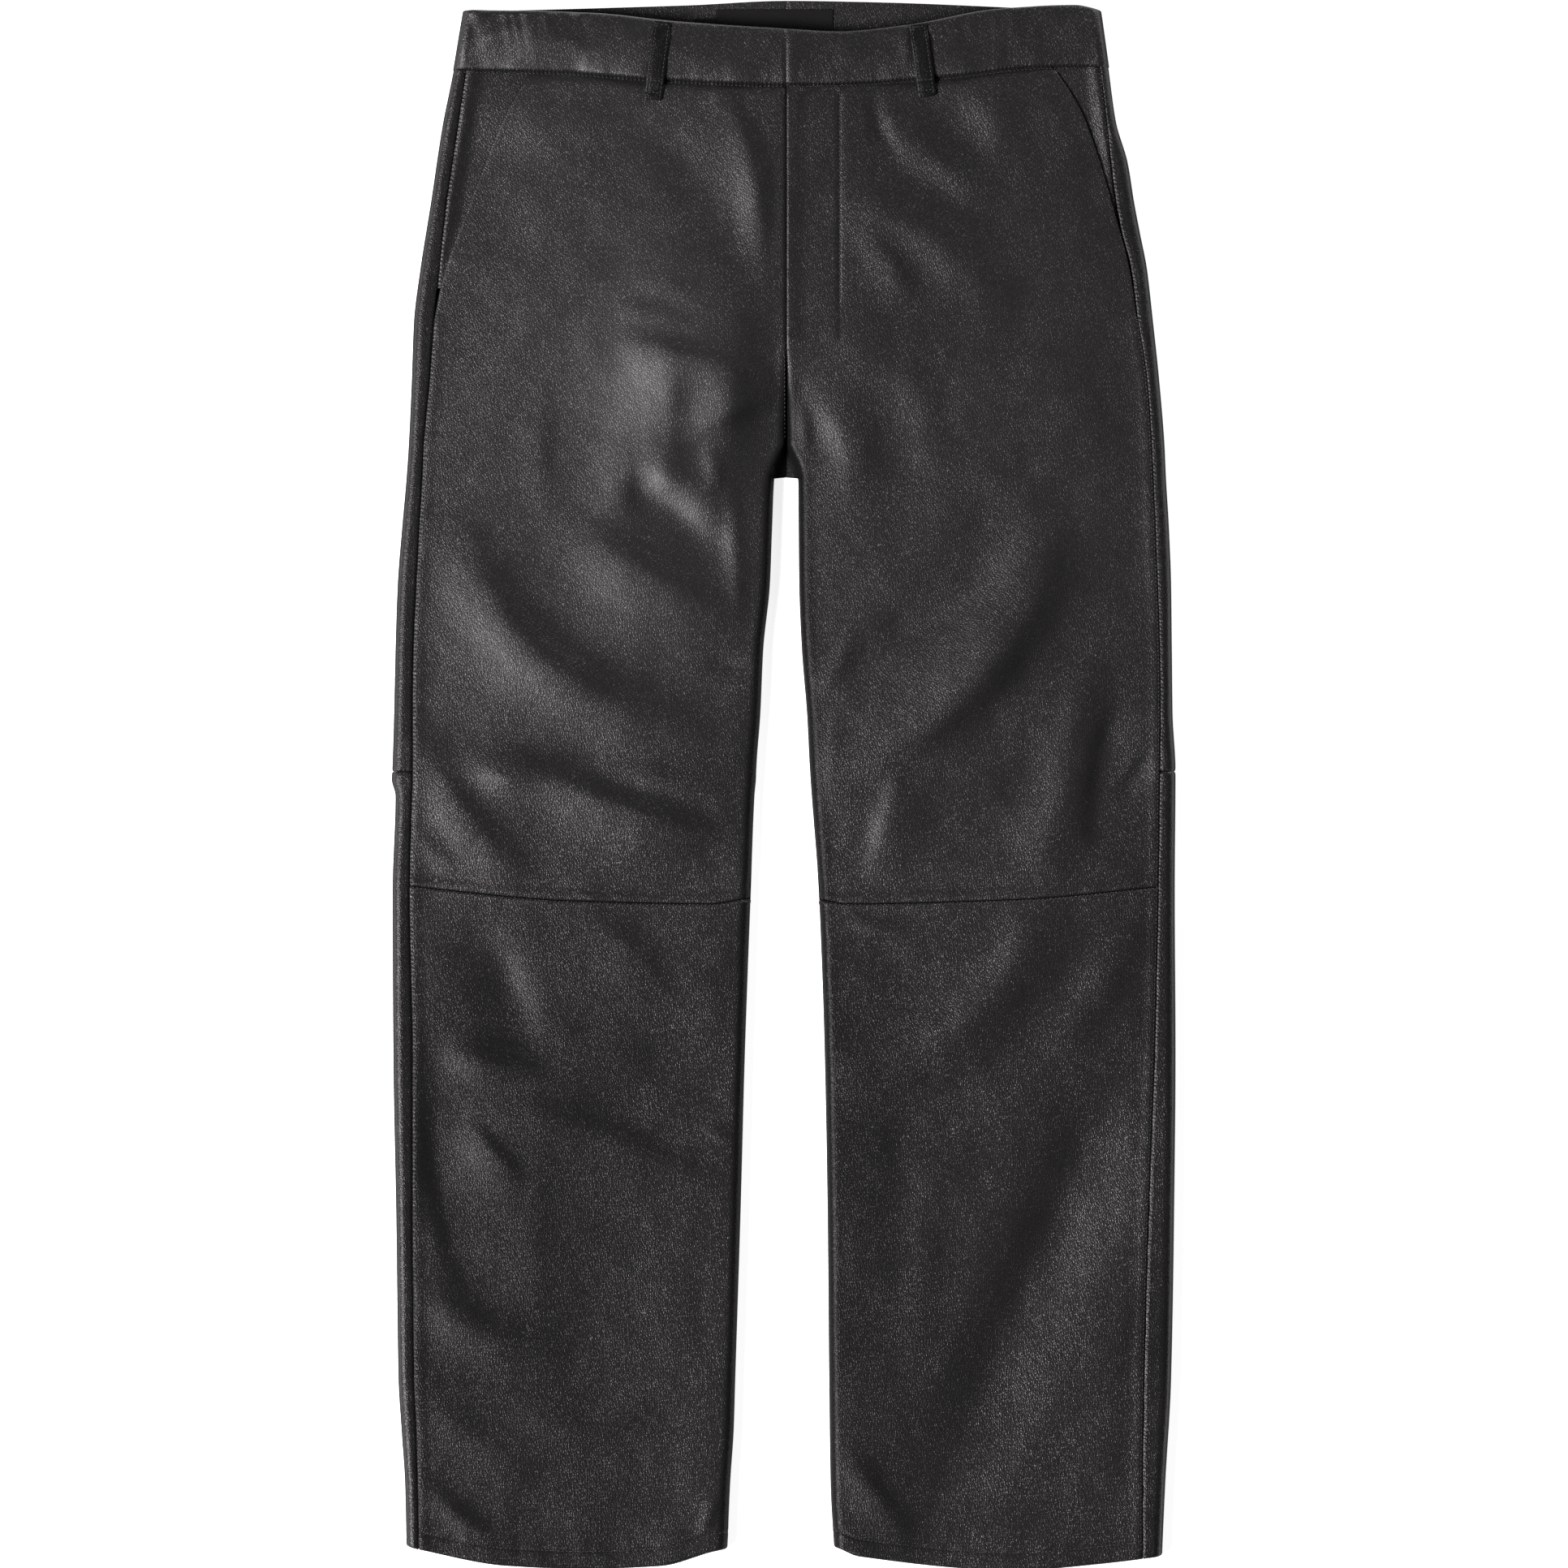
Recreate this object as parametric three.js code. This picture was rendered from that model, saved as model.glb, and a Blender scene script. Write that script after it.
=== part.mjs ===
// Leather trousers laid flat on their back, front up, with straight legs, a seam across each knee,
// slanted side pockets, a fly, a folded waistband and belt loops.
import * as THREE from 'three';

// Millimetres. X runs across, Y up to the waist and Z up from the surface that the trousers lie on.
// Right and left are the wearer's, so the right leg is at -X.
const LEATHER = 1.5;
const BAND_LEATHER = 3; // the waistband is folded double
const HEM_LEATHER = 3; // the hem is turned up once
const FACING_LEATHER = 1.2;
const SEAM_GAP = 0.3;
const CENTRE_X = 1.6; // centre front and centre back seams

// Heights along the garment at which a seam or an edge runs across it.
const BAND_TOP_Y = 522;
const WAIST_Y = 478;
const POCKET_FOOT_Y = 315;
const FLY_FOOT_Y = 296;
const FORK_Y = 230; // the fronts start to part
const CROTCH_Y = 208;
const LEG_TOP_Y = 207;
const BACK_SEAM_Y = 8.5;
const KNEE_Y = -77;
const HEM_FOLD_Y = -512;
const HEM_Y = -523;

// The rolled edge of the flattened cloth: a round underneath and a wider round on top.
const ROLL = 5;
const EDGE_RISE = 9.5;
const EDGE_RUN = 6;
const BACK_LIFT = 2.5; // the back belt loops hold the band this far off the surface
const LIFT_RUN = 40; // the underside sinks back to the surface over this length
const BAND_PROUD = 0.5;
const CROTCH_HEIGHT = 3.4; // two layers of hide pressed together
const CREASE_FADE = 14; // creases die out this close to an edge
const TORSO_ENDS_Y = 300; // below this the arch over both halves turns into one over each leg
const TORSO_FADE = 78;

// How far a cross seam that isn't level moves the cloth above or below it along.
const WAIST_PULL = 150;
const KNEE_PULL = 85;
const HEM_PULL = 150;

// Plan outline of each half, a row for each height: outer fold, outseam on top of it, and inner fold.
const RIGHT_OUTLINE = [
  { y: 524, outer: -217, seam: -209 },
  { y: 483.5, outer: -224, seam: -215 },
  { y: 443.5, outer: -232, seam: -221 },
  { y: 394, outer: -239.5, seam: -228.5 },
  { y: 350, outer: -246.5, seam: -233.5 },
  { y: 313.5, outer: -251, seam: -237 },
  { y: 273, outer: -252.5, seam: -240 },
  { y: FORK_Y, outer: -254.5, seam: -244, inner: CENTRE_X },
  { y: CROTCH_Y, outer: -256, seam: -245, inner: -6.5 },
  { y: 174, outer: -259, seam: -247, inner: -8 },
  { y: 135.5, outer: -262, seam: -249, inner: -9.5 },
  { y: 91.5, outer: -263.5, seam: -251, inner: -14 },
  { y: 47.5, outer: -264.5, seam: -251.5, inner: -16 },
  { y: 14.5, outer: -265.5, seam: -251.5, inner: -18.5 },
  { y: 3, outer: -266, seam: -251.5, inner: -19 },
  { y: -8, outer: -263.5, seam: -252, inner: -20 },
  { y: -73.5, outer: -265.5, seam: -253.5, inner: -22.5 },
  { y: -183.5, outer: -265, seam: -251.5, inner: -26.5 },
  { y: -293.5, outer: -263, seam: -251.5, inner: -29.5 },
  { y: -403.5, outer: -261.5, seam: -250.5, inner: -33 },
  { y: -436.5, outer: -259.5, seam: -249, inner: -34 },
  { y: -475, outer: -257, seam: -248, inner: -36.5 },
  { y: -520, outer: -256, seam: -247, inner: -38.5 },
];
const LEFT_OUTLINE = [
  { y: 524, outer: 214.5, seam: 207.5 },
  { y: 484.5, outer: 220, seam: 214 },
  { y: 449, outer: 225, seam: 218.5 },
  { y: 421.5, outer: 233, seam: 221.5 },
  { y: 394, outer: 237.5, seam: 225 },
  { y: 373, outer: 241.5, seam: 229 },
  { y: 350, outer: 246, seam: 235 },
  { y: 315.5, outer: 250, seam: 239.5 },
  { y: 273, outer: 254.5, seam: 246 },
  { y: FORK_Y, outer: 258, seam: 249, inner: CENTRE_X },
  { y: CROTCH_Y, outer: 259, seam: 250, inner: 9.5 },
  { y: 174, outer: 261, seam: 251.5, inner: 9.8 },
  { y: 135.5, outer: 262.5, seam: 253, inner: 10.2 },
  { y: 91.5, outer: 263, seam: 254.5, inner: 12 },
  { y: 47.5, outer: 263.5, seam: 255, inner: 15.5 },
  { y: 9, outer: 265.5, seam: 254.5, inner: 17.5 },
  { y: -73.5, outer: 265, seam: 253.5, inner: 23.5 },
  { y: -183.5, outer: 265.5, seam: 251, inner: 27.5 },
  { y: -293.5, outer: 264.5, seam: 247, inner: 29.5 },
  { y: -403.5, outer: 262.5, seam: 244, inner: 30.5 },
  { y: -475, outer: 258.5, seam: 243, inner: 31.5 },
  { y: -520, outer: 256.5, seam: 243, inner: 34 },
];

// Slanted pocket edge of each front, from the waist seam down to the outseam.
const RIGHT_SLANT = [
  { y: 482, x: -172.5 },
  { y: 452.5, x: -189 },
  { y: 394.5, x: -212.5 },
  { y: 341.5, x: -231.5 },
  { y: POCKET_FOOT_Y, x: -236.8 },
];
const LEFT_SLANT = [
  { y: 486, x: 182 },
  { y: 451, x: 203 },
  { y: 376, x: 226.8 },
  { y: 350, x: 233.6 },
  { y: POCKET_FOOT_Y, x: 239 },
];

// Seams and edges that run across, as their height at each x.
const FRONT_BAND_TOP = [
  { x: -215, y: 523.5 },
  { x: -130, y: 521.5 },
  { x: -75.5, y: 516 },
  { x: CENTRE_X, y: 510.8 },
  { x: 36, y: 509 },
  { x: 84, y: 513.5 },
  { x: 143, y: 524 },
  { x: 197, y: 527 },
  { x: 214.5, y: 523.5 },
];
const FRONT_WAIST = [
  { x: -224, y: 483.5 },
  { x: -155.5, y: 482 },
  { x: -80, y: 476.5 },
  { x: CENTRE_X, y: 473.5 },
  { x: 36, y: 474 },
  { x: 105.5, y: 478.5 },
  { x: 183.5, y: 486 },
  { x: 219.5, y: 485.5 },
];
const BACK_BAND_TOP = [
  { x: -215, y: 523.5 },
  { x: -64, y: 528 },
  { x: CENTRE_X, y: 531 },
  { x: 62.5, y: 530 },
  { x: 214.5, y: 523.5 },
];
const BACK_WAIST = [
  { x: -224, y: 483.5 },
  { x: CENTRE_X, y: 490 },
  { x: 219.5, y: 485.5 },
];
const KNEE_SEAM = [
  { x: -252.5, y: -69.5 },
  { x: -152.5, y: -79 },
  { x: -49.5, y: -81.5 },
  { x: -23.5, y: -78 },
  { x: 26.5, y: -79 },
  { x: 41, y: -81.5 },
  { x: 158, y: -78.5 },
  { x: 253.5, y: -70 },
];
const HEM_EDGE = [
  { x: -256.5, y: -515 },
  { x: -187, y: -528 },
  { x: -135.5, y: -530 },
  { x: -83.5, y: -528 },
  { x: -38.5, y: -517 },
  { x: 34, y: -516 },
  { x: 50.5, y: -521.5 },
  { x: 158, y: -531 },
  { x: 211, y: -527 },
  { x: 256.5, y: -521.5 },
];

// Height of the front above the surface down the middle: over both halves, and over one leg.
const THICKNESS = [
  { y: BAND_TOP_Y, torso: 17.5, leg: 17 },
  { y: WAIST_Y, torso: 18, leg: 17 },
  { y: 370, torso: 20.5, leg: 17 },
  { y: 250, torso: 21.5, leg: 17 },
  { y: 60, torso: 20, leg: 16 },
  { y: -300, torso: 18, leg: 15 },
  { y: HEM_Y, torso: 17, leg: 15 },
];

// The largest creases, as lines through three places. The widths are those to the left and the right of
// a line as it runs, so one side may be steep and the other gentle. A negative rise is a valley.
const CREASES = [
  // right hip and crotch
  { from: [-92, 454], via: [-50, 396], to: [-26, 340], left: 20, right: 20, rise: -1.9 },
  { from: [-36, 350], via: [-40, 258], to: [-58, 176], left: 15, right: 60, rise: 5.2 },
  { from: [-105, 297], via: [-60, 287], to: [-6, 269], left: 9, right: 24, rise: 2.8 },
  { from: [-6, 266], via: [-36, 252], to: [-64, 238], left: 8, right: 14, rise: 2.4 },
  { from: [-84, 306], via: [-80, 248], to: [-88, 190], left: 14, right: 34, rise: 2.4 },
  { from: [-98, 232], via: [-72, 204], to: [-36, 196], left: 13, right: 13, rise: 1.9 },
  // right thigh and knee
  { from: [-112, 203], via: [-78, 187], to: [-40, 148], left: 10, right: 14, rise: -2.2 },
  { from: [-132, 166], via: [-92, 142], to: [-38, 112], left: 15, right: 30, rise: 4.4 },
  { from: [-216, 168], via: [-164, 85], to: [-56, 32], left: 17, right: 27, rise: 6 },
  { from: [-224, 12], via: [-172, 6], to: [-122, -6], left: 14, right: 13, rise: 3.4 },
  { from: [-150, -2], via: [-98, -20], to: [-42, -38], left: 11, right: 26, rise: 4.4 },
  { from: [-246, 38], via: [-222, -14], to: [-176, -66], left: 12, right: 18, rise: 3 },
  // right shin
  { from: [-208, -88], via: [-188, -138], to: [-170, -190], left: 13, right: 24, rise: -3.2 },
  { from: [-132, -96], via: [-103, -116], to: [-78, -150], left: 8, right: 28, rise: 2.4 },
  { from: [-228, -176], via: [-200, -190], to: [-164, -190], left: 14, right: 12, rise: 2.8 },
  { from: [-200, -222], via: [-125, -240], to: [-48, -274], left: 11, right: 34, rise: 2.8 },
  { from: [-232, -196], via: [-232, -275], to: [-204, -356], left: 34, right: 9, rise: -2.4 },
  { from: [-250, -335], via: [-215, -366], to: [-160, -388], left: 12, right: 14, rise: 3 },
  // left hip and crotch
  { from: [108, 488], via: [140, 453], to: [167, 392], left: 20, right: 16, rise: 1.9 },
  { from: [70, 440], via: [108, 421], to: [144, 392], left: 16, right: 14, rise: 2.8 },
  { from: [40, 396], via: [92, 375], to: [146, 348], left: 18, right: 18, rise: 3.4 },
  { from: [16, 264], via: [42, 236], to: [44, 186], left: 20, right: 12, rise: 2.6 },
  // left thigh and knee
  { from: [180, 176], via: [138, 80], to: [34, 4], left: 17, right: 25, rise: 6 },
  { from: [155, 178], via: [108, 118], to: [34, 82], left: 14, right: 26, rise: -2.6 },
  { from: [202, 30], via: [187, -15], to: [158, -62], left: 20, right: 17, rise: 3 },
  { from: [228, 56], via: [214, 10], to: [211, -44], left: 24, right: 7, rise: -2.4 },
  { from: [80, 10], via: [71, -24], to: [60, -62], left: 20, right: 8, rise: 2.2 },
  // left shin
  { from: [172, -86], via: [130, -154], to: [42, -196], left: 22, right: 15, rise: 4.2 },
  { from: [232, -198], via: [176, -318], to: [106, -495], left: 32, right: 24, rise: -4.4 },
];
const CREASE_STEPS = 12;
const CREASE_RUN_ON = 0.12; // share of its length by which a crease fades out beyond each end

// Rows of the leg grids between the heights that matter, and columns close to a rolled edge.
const LEG_ROWS = [
  { from: WAIST_Y, to: POCKET_FOOT_Y, steps: 8 },
  { from: POCKET_FOOT_Y, to: FORK_Y, steps: 4 },
  { from: FORK_Y, to: CROTCH_Y, steps: 2 },
  { from: LEG_TOP_Y, to: BACK_SEAM_Y, steps: 9 },
  { from: BACK_SEAM_Y, to: KNEE_Y, steps: 4 },
  { from: KNEE_Y, to: HEM_FOLD_Y, steps: 18 },
  { from: HEM_FOLD_Y - 2, to: HEM_Y, steps: 1 },
];
const EDGE_STEPS = [0, 0.8, 2.8, 6, 13];
const FORK_SHARES = [0, 0.85, 1, 1, 1]; // how far each of those columns follows the fork above the crotch
const FRONT_STEPS = 11;
const STRIP_SHARES = [1, 0.45, 0.12];
const UNDERSIDE_STEPS = 3;

const LOOP_WIDTH = 11;
const LOOP_LEATHER = 1.7;
const LOOP_STANDOFF = 2.5; // room for a belt
const FRONT_LOOPS = [
  { name: 'belt_loop_front_right', top: [-82, 515.6], foot: [-88.5, 463.8] },
  { name: 'belt_loop_front_left', top: [90.5, 513.9], foot: [97, 465.8] },
];
const BACK_LOOPS = [
  { name: 'belt_loop_back_right', x: -118 },
  { name: 'belt_loop_back_centre', x: CENTRE_X },
  { name: 'belt_loop_back_left', x: 118 },
];
const LOOP_FOOT = 14; // how far the loops reach below the waist seam
const LOOP_HEAD = 1.5; // and how far the back ones end below the top of the band

const clamp = THREE.MathUtils.clamp;
const lerp = THREE.MathUtils.lerp;

// A smooth step from 0 to 1.
function ease(share) {
  const t = clamp(share, 0, 1);
  return t * t * (3 - 2 * t);
}

// A smooth curve through the rows of a table that gives `value` at any `along`, and never overshoots.
function curveThrough(table, along, value) {
  const rows = table.filter((row) => row[value] !== undefined).sort((a, b) => a[along] - b[along]);
  const pitch = (i) => (rows[i + 1][value] - rows[i][value]) / (rows[i + 1][along] - rows[i][along]);
  const slopes = rows.map((_, i) => {
    const before = pitch(Math.max(i - 1, 0));
    const after = pitch(Math.min(i, rows.length - 2));
    return before * after <= 0 ? 0 : (2 * before * after) / (before + after);
  });
  return (at) => {
    const place = clamp(at, rows[0][along], rows[rows.length - 1][along]);
    let i = 0;
    while (i < rows.length - 2 && rows[i + 1][along] < place) i += 1;
    const span = rows[i + 1][along] - rows[i][along];
    const t = (place - rows[i][along]) / span;
    const rise = t * t * (3 - 2 * t);
    const leave = t * (1 - t) * (1 - t) * span * slopes[i];
    const arrive = t * t * (1 - t) * span * slopes[i + 1];
    return lerp(rows[i][value], rows[i + 1][value], rise) + leave - arrive;
  };
}

// One half of the trousers: its sign across, and its outline as curves.
function makeHalf(name, sign, outline, slant) {
  return {
    name,
    sign,
    outer: curveThrough(outline, 'y', 'outer'),
    seam: curveThrough(outline, 'y', 'seam'),
    inner: curveThrough(outline, 'y', 'inner'),
    slant: curveThrough(slant, 'y', 'x'),
  };
}

const RIGHT = makeHalf('right', -1, RIGHT_OUTLINE, RIGHT_SLANT);
const LEFT = makeHalf('left', 1, LEFT_OUTLINE, LEFT_SLANT);
const halfAt = (x) => (x < CENTRE_X ? RIGHT : LEFT);

const frontBandTopY = curveThrough(FRONT_BAND_TOP, 'x', 'y');
const frontWaistY = curveThrough(FRONT_WAIST, 'x', 'y');
const backBandTopY = curveThrough(BACK_BAND_TOP, 'x', 'y');
const backWaistY = curveThrough(BACK_WAIST, 'x', 'y');
const kneeSeamY = curveThrough(KNEE_SEAM, 'x', 'y');
const hemEdgeY = curveThrough(HEM_EDGE, 'x', 'y');
const torsoHeight = curveThrough(THICKNESS, 'y', 'torso');
const legHeight = curveThrough(THICKNESS, 'y', 'leg');

// Distances out from the centre line.
const outOf = (half, x) => half.sign * (x - CENTRE_X);
const innerOut = (half, y) => (y > FORK_Y ? 0 : outOf(half, half.inner(y)));

// How far the underside is held off the surface by the back belt loops.
function liftAt(y) {
  const loopsEnd = WAIST_Y - LOOP_FOOT;
  return BACK_LIFT * ease((y - loopsEnd + LIFT_RUN) / LIFT_RUN);
}

function edgeRoll(distance) {
  const left = 1 - clamp(distance / EDGE_RUN, 0, 1);
  return EDGE_RISE * Math.sqrt(1 - left * left);
}

const creaseLines = CREASES.map((crease) => {
  const [start, middle, end] = [crease.from, crease.via, crease.to].map(([x, y]) => new THREE.Vector2(x, y));
  const pull = middle.clone().multiplyScalar(2).sub(start.clone().add(end).multiplyScalar(0.5));
  const curve = new THREE.QuadraticBezierCurve(start, pull, end);
  const points = [];
  for (let i = 0; i <= CREASE_STEPS; i += 1) {
    points.push(curve.getPoint(lerp(-CREASE_RUN_ON, 1 + CREASE_RUN_ON, i / CREASE_STEPS)));
  }
  return { ...crease, points };
});

// Height that the creases add at a plan point: a soft ridge or valley that tapers to its ends.
function creaseHeight(x, y) {
  let total = 0;
  for (const { points, left, right, rise } of creaseLines) {
    let nearest = Infinity;
    let share = 0;
    let width = left;
    for (let i = 0; i < points.length - 1; i += 1) {
      const [a, b] = [points[i], points[i + 1]];
      const run = b.x - a.x;
      const climb = b.y - a.y;
      const t = clamp(((x - a.x) * run + (y - a.y) * climb) / (run * run + climb * climb), 0, 1);
      const distance = Math.hypot(x - a.x - t * run, y - a.y - t * climb);
      if (distance < nearest) {
        nearest = distance;
        share = (i + t) / CREASE_STEPS;
        width = run * (y - a.y) > climb * (x - a.x) ? left : right;
      }
    }
    const taper = Math.sin(Math.PI * share) ** 1.5;
    total += rise * taper * Math.exp(-((nearest / width) ** 2));
  }
  return total;
}

// Height of the outer face of the top layer over a plan point.
function topHeight(x, y) {
  const half = halfAt(x);
  const out = Math.abs(x - CENTRE_X);
  const outerOut = outOf(half, half.outer(y));
  const inset = innerOut(half, y);
  const base = liftAt(y) + ROLL;
  const fromOuter = Math.max(outerOut - out, 0);
  const acrossTorso = fromOuter / (2 * outerOut);
  const torsoCrown = torsoHeight(y) - base - EDGE_RISE;
  const torso = base + edgeRoll(fromOuter) + torsoCrown * 4 * acrossTorso * (1 - acrossTorso);
  const fromInner = out - inset;
  const split = ease((TORSO_ENDS_Y - y) / TORSO_FADE);
  let leg;
  if (fromInner >= 0) {
    const acrossLeg = fromOuter / (outerOut - inset);
    const legCrown = legHeight(y) - base - EDGE_RISE;
    leg = base + edgeRoll(Math.min(fromOuter, fromInner)) + legCrown * 4 * acrossLeg * (1 - acrossLeg);
  } else {
    const sag = clamp((FORK_Y - y) / (FORK_Y - CROTCH_Y), 0, 1);
    leg = base - (base - CROTCH_HEIGHT) * sag * (1 - out / inset);
  }
  const fade = ease(Math.min(fromOuter, Math.max(fromInner, 0)) / CREASE_FADE);
  return lerp(torso, leg, split) + fade * creaseHeight(x, y);
}

// Outward direction of the top face, from its slopes.
const SLOPE_STEP = 0.2;
function topNormal(x, y) {
  const acrossSlope = (topHeight(x + SLOPE_STEP, y) - topHeight(x - SLOPE_STEP, y)) / (2 * SLOPE_STEP);
  const alongSlope = (topHeight(x, y + SLOPE_STEP) - topHeight(x, y - SLOPE_STEP)) / (2 * SLOPE_STEP);
  return new THREE.Vector3(-acrossSlope, -alongSlope, 1).normalize();
}

// How far a row is moved along by the seams and edges that run across.
function seamShift(x, y, under) {
  const waist = under ? backWaistY(x) : frontWaistY(x);
  const nearWaist = ease(1 - (WAIST_Y - y) / WAIST_PULL);
  const nearKnee = ease(1 - Math.abs(y - KNEE_Y) / KNEE_PULL);
  const nearHem = ease(1 - (y - HEM_Y) / HEM_PULL);
  return (waist - WAIST_Y) * nearWaist + (kneeSeamY(x) - KNEE_Y) * nearKnee + (hemEdgeY(x) - HEM_Y) * nearHem;
}

// Settles a point whose x follows the outline and whose y follows the seams.
function settle(placeX, y, under) {
  let shifted = y;
  for (let pass = 0; pass < 3; pass += 1) shifted = y + seamShift(placeX(shifted), y, under);
  return [placeX(shifted), shifted];
}

// A point of the outer surface with the direction that faces out of the cloth there.
const surfacePoint = (x, y, z, normal) => ({ point: new THREE.Vector3(x, y, z), normal });

function topPoint(placeX, y) {
  const [x, settledY] = settle(placeX, y, false);
  return surfacePoint(x, settledY, topHeight(x, settledY), topNormal(x, settledY));
}

// A point on the round below a fold. Turn 0 is its outermost line and 1 is where it meets the underside.
function rollPoint(edge, outward, y, turn) {
  const angle = (turn * Math.PI) / 2;
  const [x, settledY] = settle((at) => edge(at) - outward * ROLL * (1 - Math.cos(angle)), y, turn === 1);
  const z = liftAt(settledY) + ROLL * (1 - Math.sin(angle));
  const lean = (edge(settledY + 1) - edge(settledY - 1)) / 2;
  const flat = new THREE.Vector2(outward, -outward * lean).normalize();
  const normal = new THREE.Vector3(flat.x * Math.cos(angle), flat.y * Math.cos(angle), -Math.sin(angle));
  return surfacePoint(x, settledY, z, normal);
}

function underPoint(placeX, y) {
  const [x, settledY] = settle(placeX, y, true);
  return surfacePoint(x, settledY, liftAt(settledY), new THREE.Vector3(0, 0, -1));
}

// Front of one half at one height, from the inner fold or the centre out to the pocket or outseam.
function frontRow(half, y) {
  const isLeg = y <= LEG_TOP_Y;
  const outerX = (at) => (at > POCKET_FOOT_Y ? half.slant(at) : half.seam(at));
  const edgeX = (at, j) => {
    const follow = isLeg ? 1 : FORK_SHARES[j];
    return CENTRE_X + half.sign * (EDGE_STEPS[j] + innerOut(half, at) * follow);
  };
  const row = EDGE_STEPS.map((_, j) => topPoint((at) => edgeX(at, j), y));
  if (isLeg) row[0] = rollPoint(half.inner, -half.sign, y, 0);
  const lastEdge = EDGE_STEPS.length - 1;
  for (let i = 1; i <= FRONT_STEPS; i += 1) {
    row.push(topPoint((at) => lerp(edgeX(at, lastEdge), outerX(at), i / FRONT_STEPS), y));
  }
  return row;
}

// Back of one half at one height: the strip beside the outseam, the outer fold, and the underside.
function backRow(half, y) {
  const isLeg = y <= LEG_TOP_Y;
  const strip = STRIP_SHARES.map((share) => topPoint((at) => lerp(half.outer(at), half.seam(at), share), y));
  const fold = [0, 0.5, 1].map((turn) => rollPoint(half.outer, half.sign, y, turn));
  const foldX = (at) => half.outer(at) - half.sign * ROLL;
  const innerX = (at) => (isLeg ? half.inner(at) : CENTRE_X) + half.sign * ROLL;
  const under = [];
  for (let i = 1; i <= UNDERSIDE_STEPS; i += 1) {
    under.push(underPoint((at) => lerp(foldX(at), innerX(at), i / UNDERSIDE_STEPS), y));
  }
  const end = isLeg
    ? [0.5, 0].map((turn) => rollPoint(half.inner, -half.sign, y, turn))
    : [ROLL / 2, 0].map((step) => underPoint(() => CENTRE_X + half.sign * step, y));
  return [...strip, ...fold, ...under, ...end];
}

const hideAt = (y) => (y < HEM_FOLD_Y - 1 ? HEM_LEATHER : LEATHER);

// Outer points and the same points moved in by the wall, for the rows of a panel.
function wallRows(rows, thickness) {
  const inward = ({ point, normal }, wall) => point.clone().addScaledVector(normal, -wall);
  return {
    outer: rows.map((row) => row.map(({ point }) => point.clone())),
    inner: rows.map((row, i) => row.map((place) => inward(place, thickness(i)))),
  };
}

// Draws the border of a point grid back by half the seam gap, along its own lines.
function drawBack(grid) {
  const pull = (point, neighbour) => {
    const away = neighbour.clone().sub(point);
    return point.clone().addScaledVector(away.normalize(), SEAM_GAP / 2);
  };
  const narrowed = grid.map((row) => {
    const last = row.length - 1;
    return row.map((point, j) => {
      if (j === 0) return pull(point, row[1]);
      return j === last ? pull(point, row[last - 1]) : point;
    });
  });
  const end = narrowed.length - 1;
  return narrowed.map((row, i) => {
    if (i === 0) return row.map((point, j) => pull(point, narrowed[1][j]));
    return i === end ? row.map((point, j) => pull(point, narrowed[end - 1][j])) : row;
  });
}

// A closed wall between an outer and an inner grid of points, with its rim.
function wallGeometry(outer, inner) {
  const rows = outer.length;
  const columns = outer[0].length;
  const points = [...outer.flat(), ...inner.flat()];
  const outside = (i, j) => i * columns + j;
  const inside = (i, j) => rows * columns + i * columns + j;
  const faces = [];
  const quad = (a, b, c, d) => faces.push(a, b, c, a, c, d);
  for (let i = 0; i < rows - 1; i += 1) {
    for (let j = 0; j < columns - 1; j += 1) {
      quad(outside(i, j), outside(i, j + 1), outside(i + 1, j + 1), outside(i + 1, j));
      faces.push(inside(i, j), inside(i + 1, j + 1), inside(i, j + 1));
      faces.push(inside(i, j), inside(i + 1, j), inside(i + 1, j + 1));
    }
    quad(outside(i, 0), outside(i + 1, 0), inside(i + 1, 0), inside(i, 0));
    const last = columns - 1;
    quad(outside(i + 1, last), outside(i, last), inside(i, last), inside(i + 1, last));
  }
  for (let j = 0; j < columns - 1; j += 1) {
    quad(outside(0, j + 1), outside(0, j), inside(0, j), inside(0, j + 1));
    const end = rows - 1;
    quad(outside(end, j), outside(end, j + 1), inside(end, j + 1), inside(end, j));
  }
  const geometry = new THREE.BufferGeometry().setFromPoints(points);
  geometry.setIndex(signedVolume(points, faces) < 0 ? faces.reverse() : faces);
  geometry.computeVertexNormals();
  return geometry;
}

function signedVolume(points, faces) {
  let total = 0;
  for (let i = 0; i < faces.length; i += 3) {
    const [a, b, c] = [points[faces[i]], points[faces[i + 1]], points[faces[i + 2]]];
    total += a.dot(b.clone().cross(c)) / 6;
  }
  return total;
}

function makeMaterial(color, roughness) {
  return new THREE.MeshStandardMaterial({ color, roughness, metalness: 0 });
}

function makeMesh(name, geometry, material) {
  const mesh = new THREE.Mesh(geometry, material);
  mesh.name = name;
  return mesh;
}

function panelMesh(name, rows, thickness, material) {
  const { outer, inner } = wallRows(rows, thickness);
  return makeMesh(name, wallGeometry(drawBack(outer), drawBack(inner)), material);
}

// Heights of the grid rows between two heights, both ends included.
function rowHeights(top, bottom) {
  const heights = [];
  for (const { from, to, steps } of LEG_ROWS) {
    for (let i = 0; i <= steps; i += 1) heights.push(lerp(from, to, i / steps));
  }
  return [...new Set(heights)].filter((y) => y <= top && y >= bottom);
}

function legPanel(name, half, makeRow, top, bottom, material) {
  const heights = rowHeights(top, bottom);
  const rows = heights.map((y) => makeRow(half, y));
  return panelMesh(`${name}_${half.name}`, rows, (i) => hideAt(heights[i]), material);
}

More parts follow.
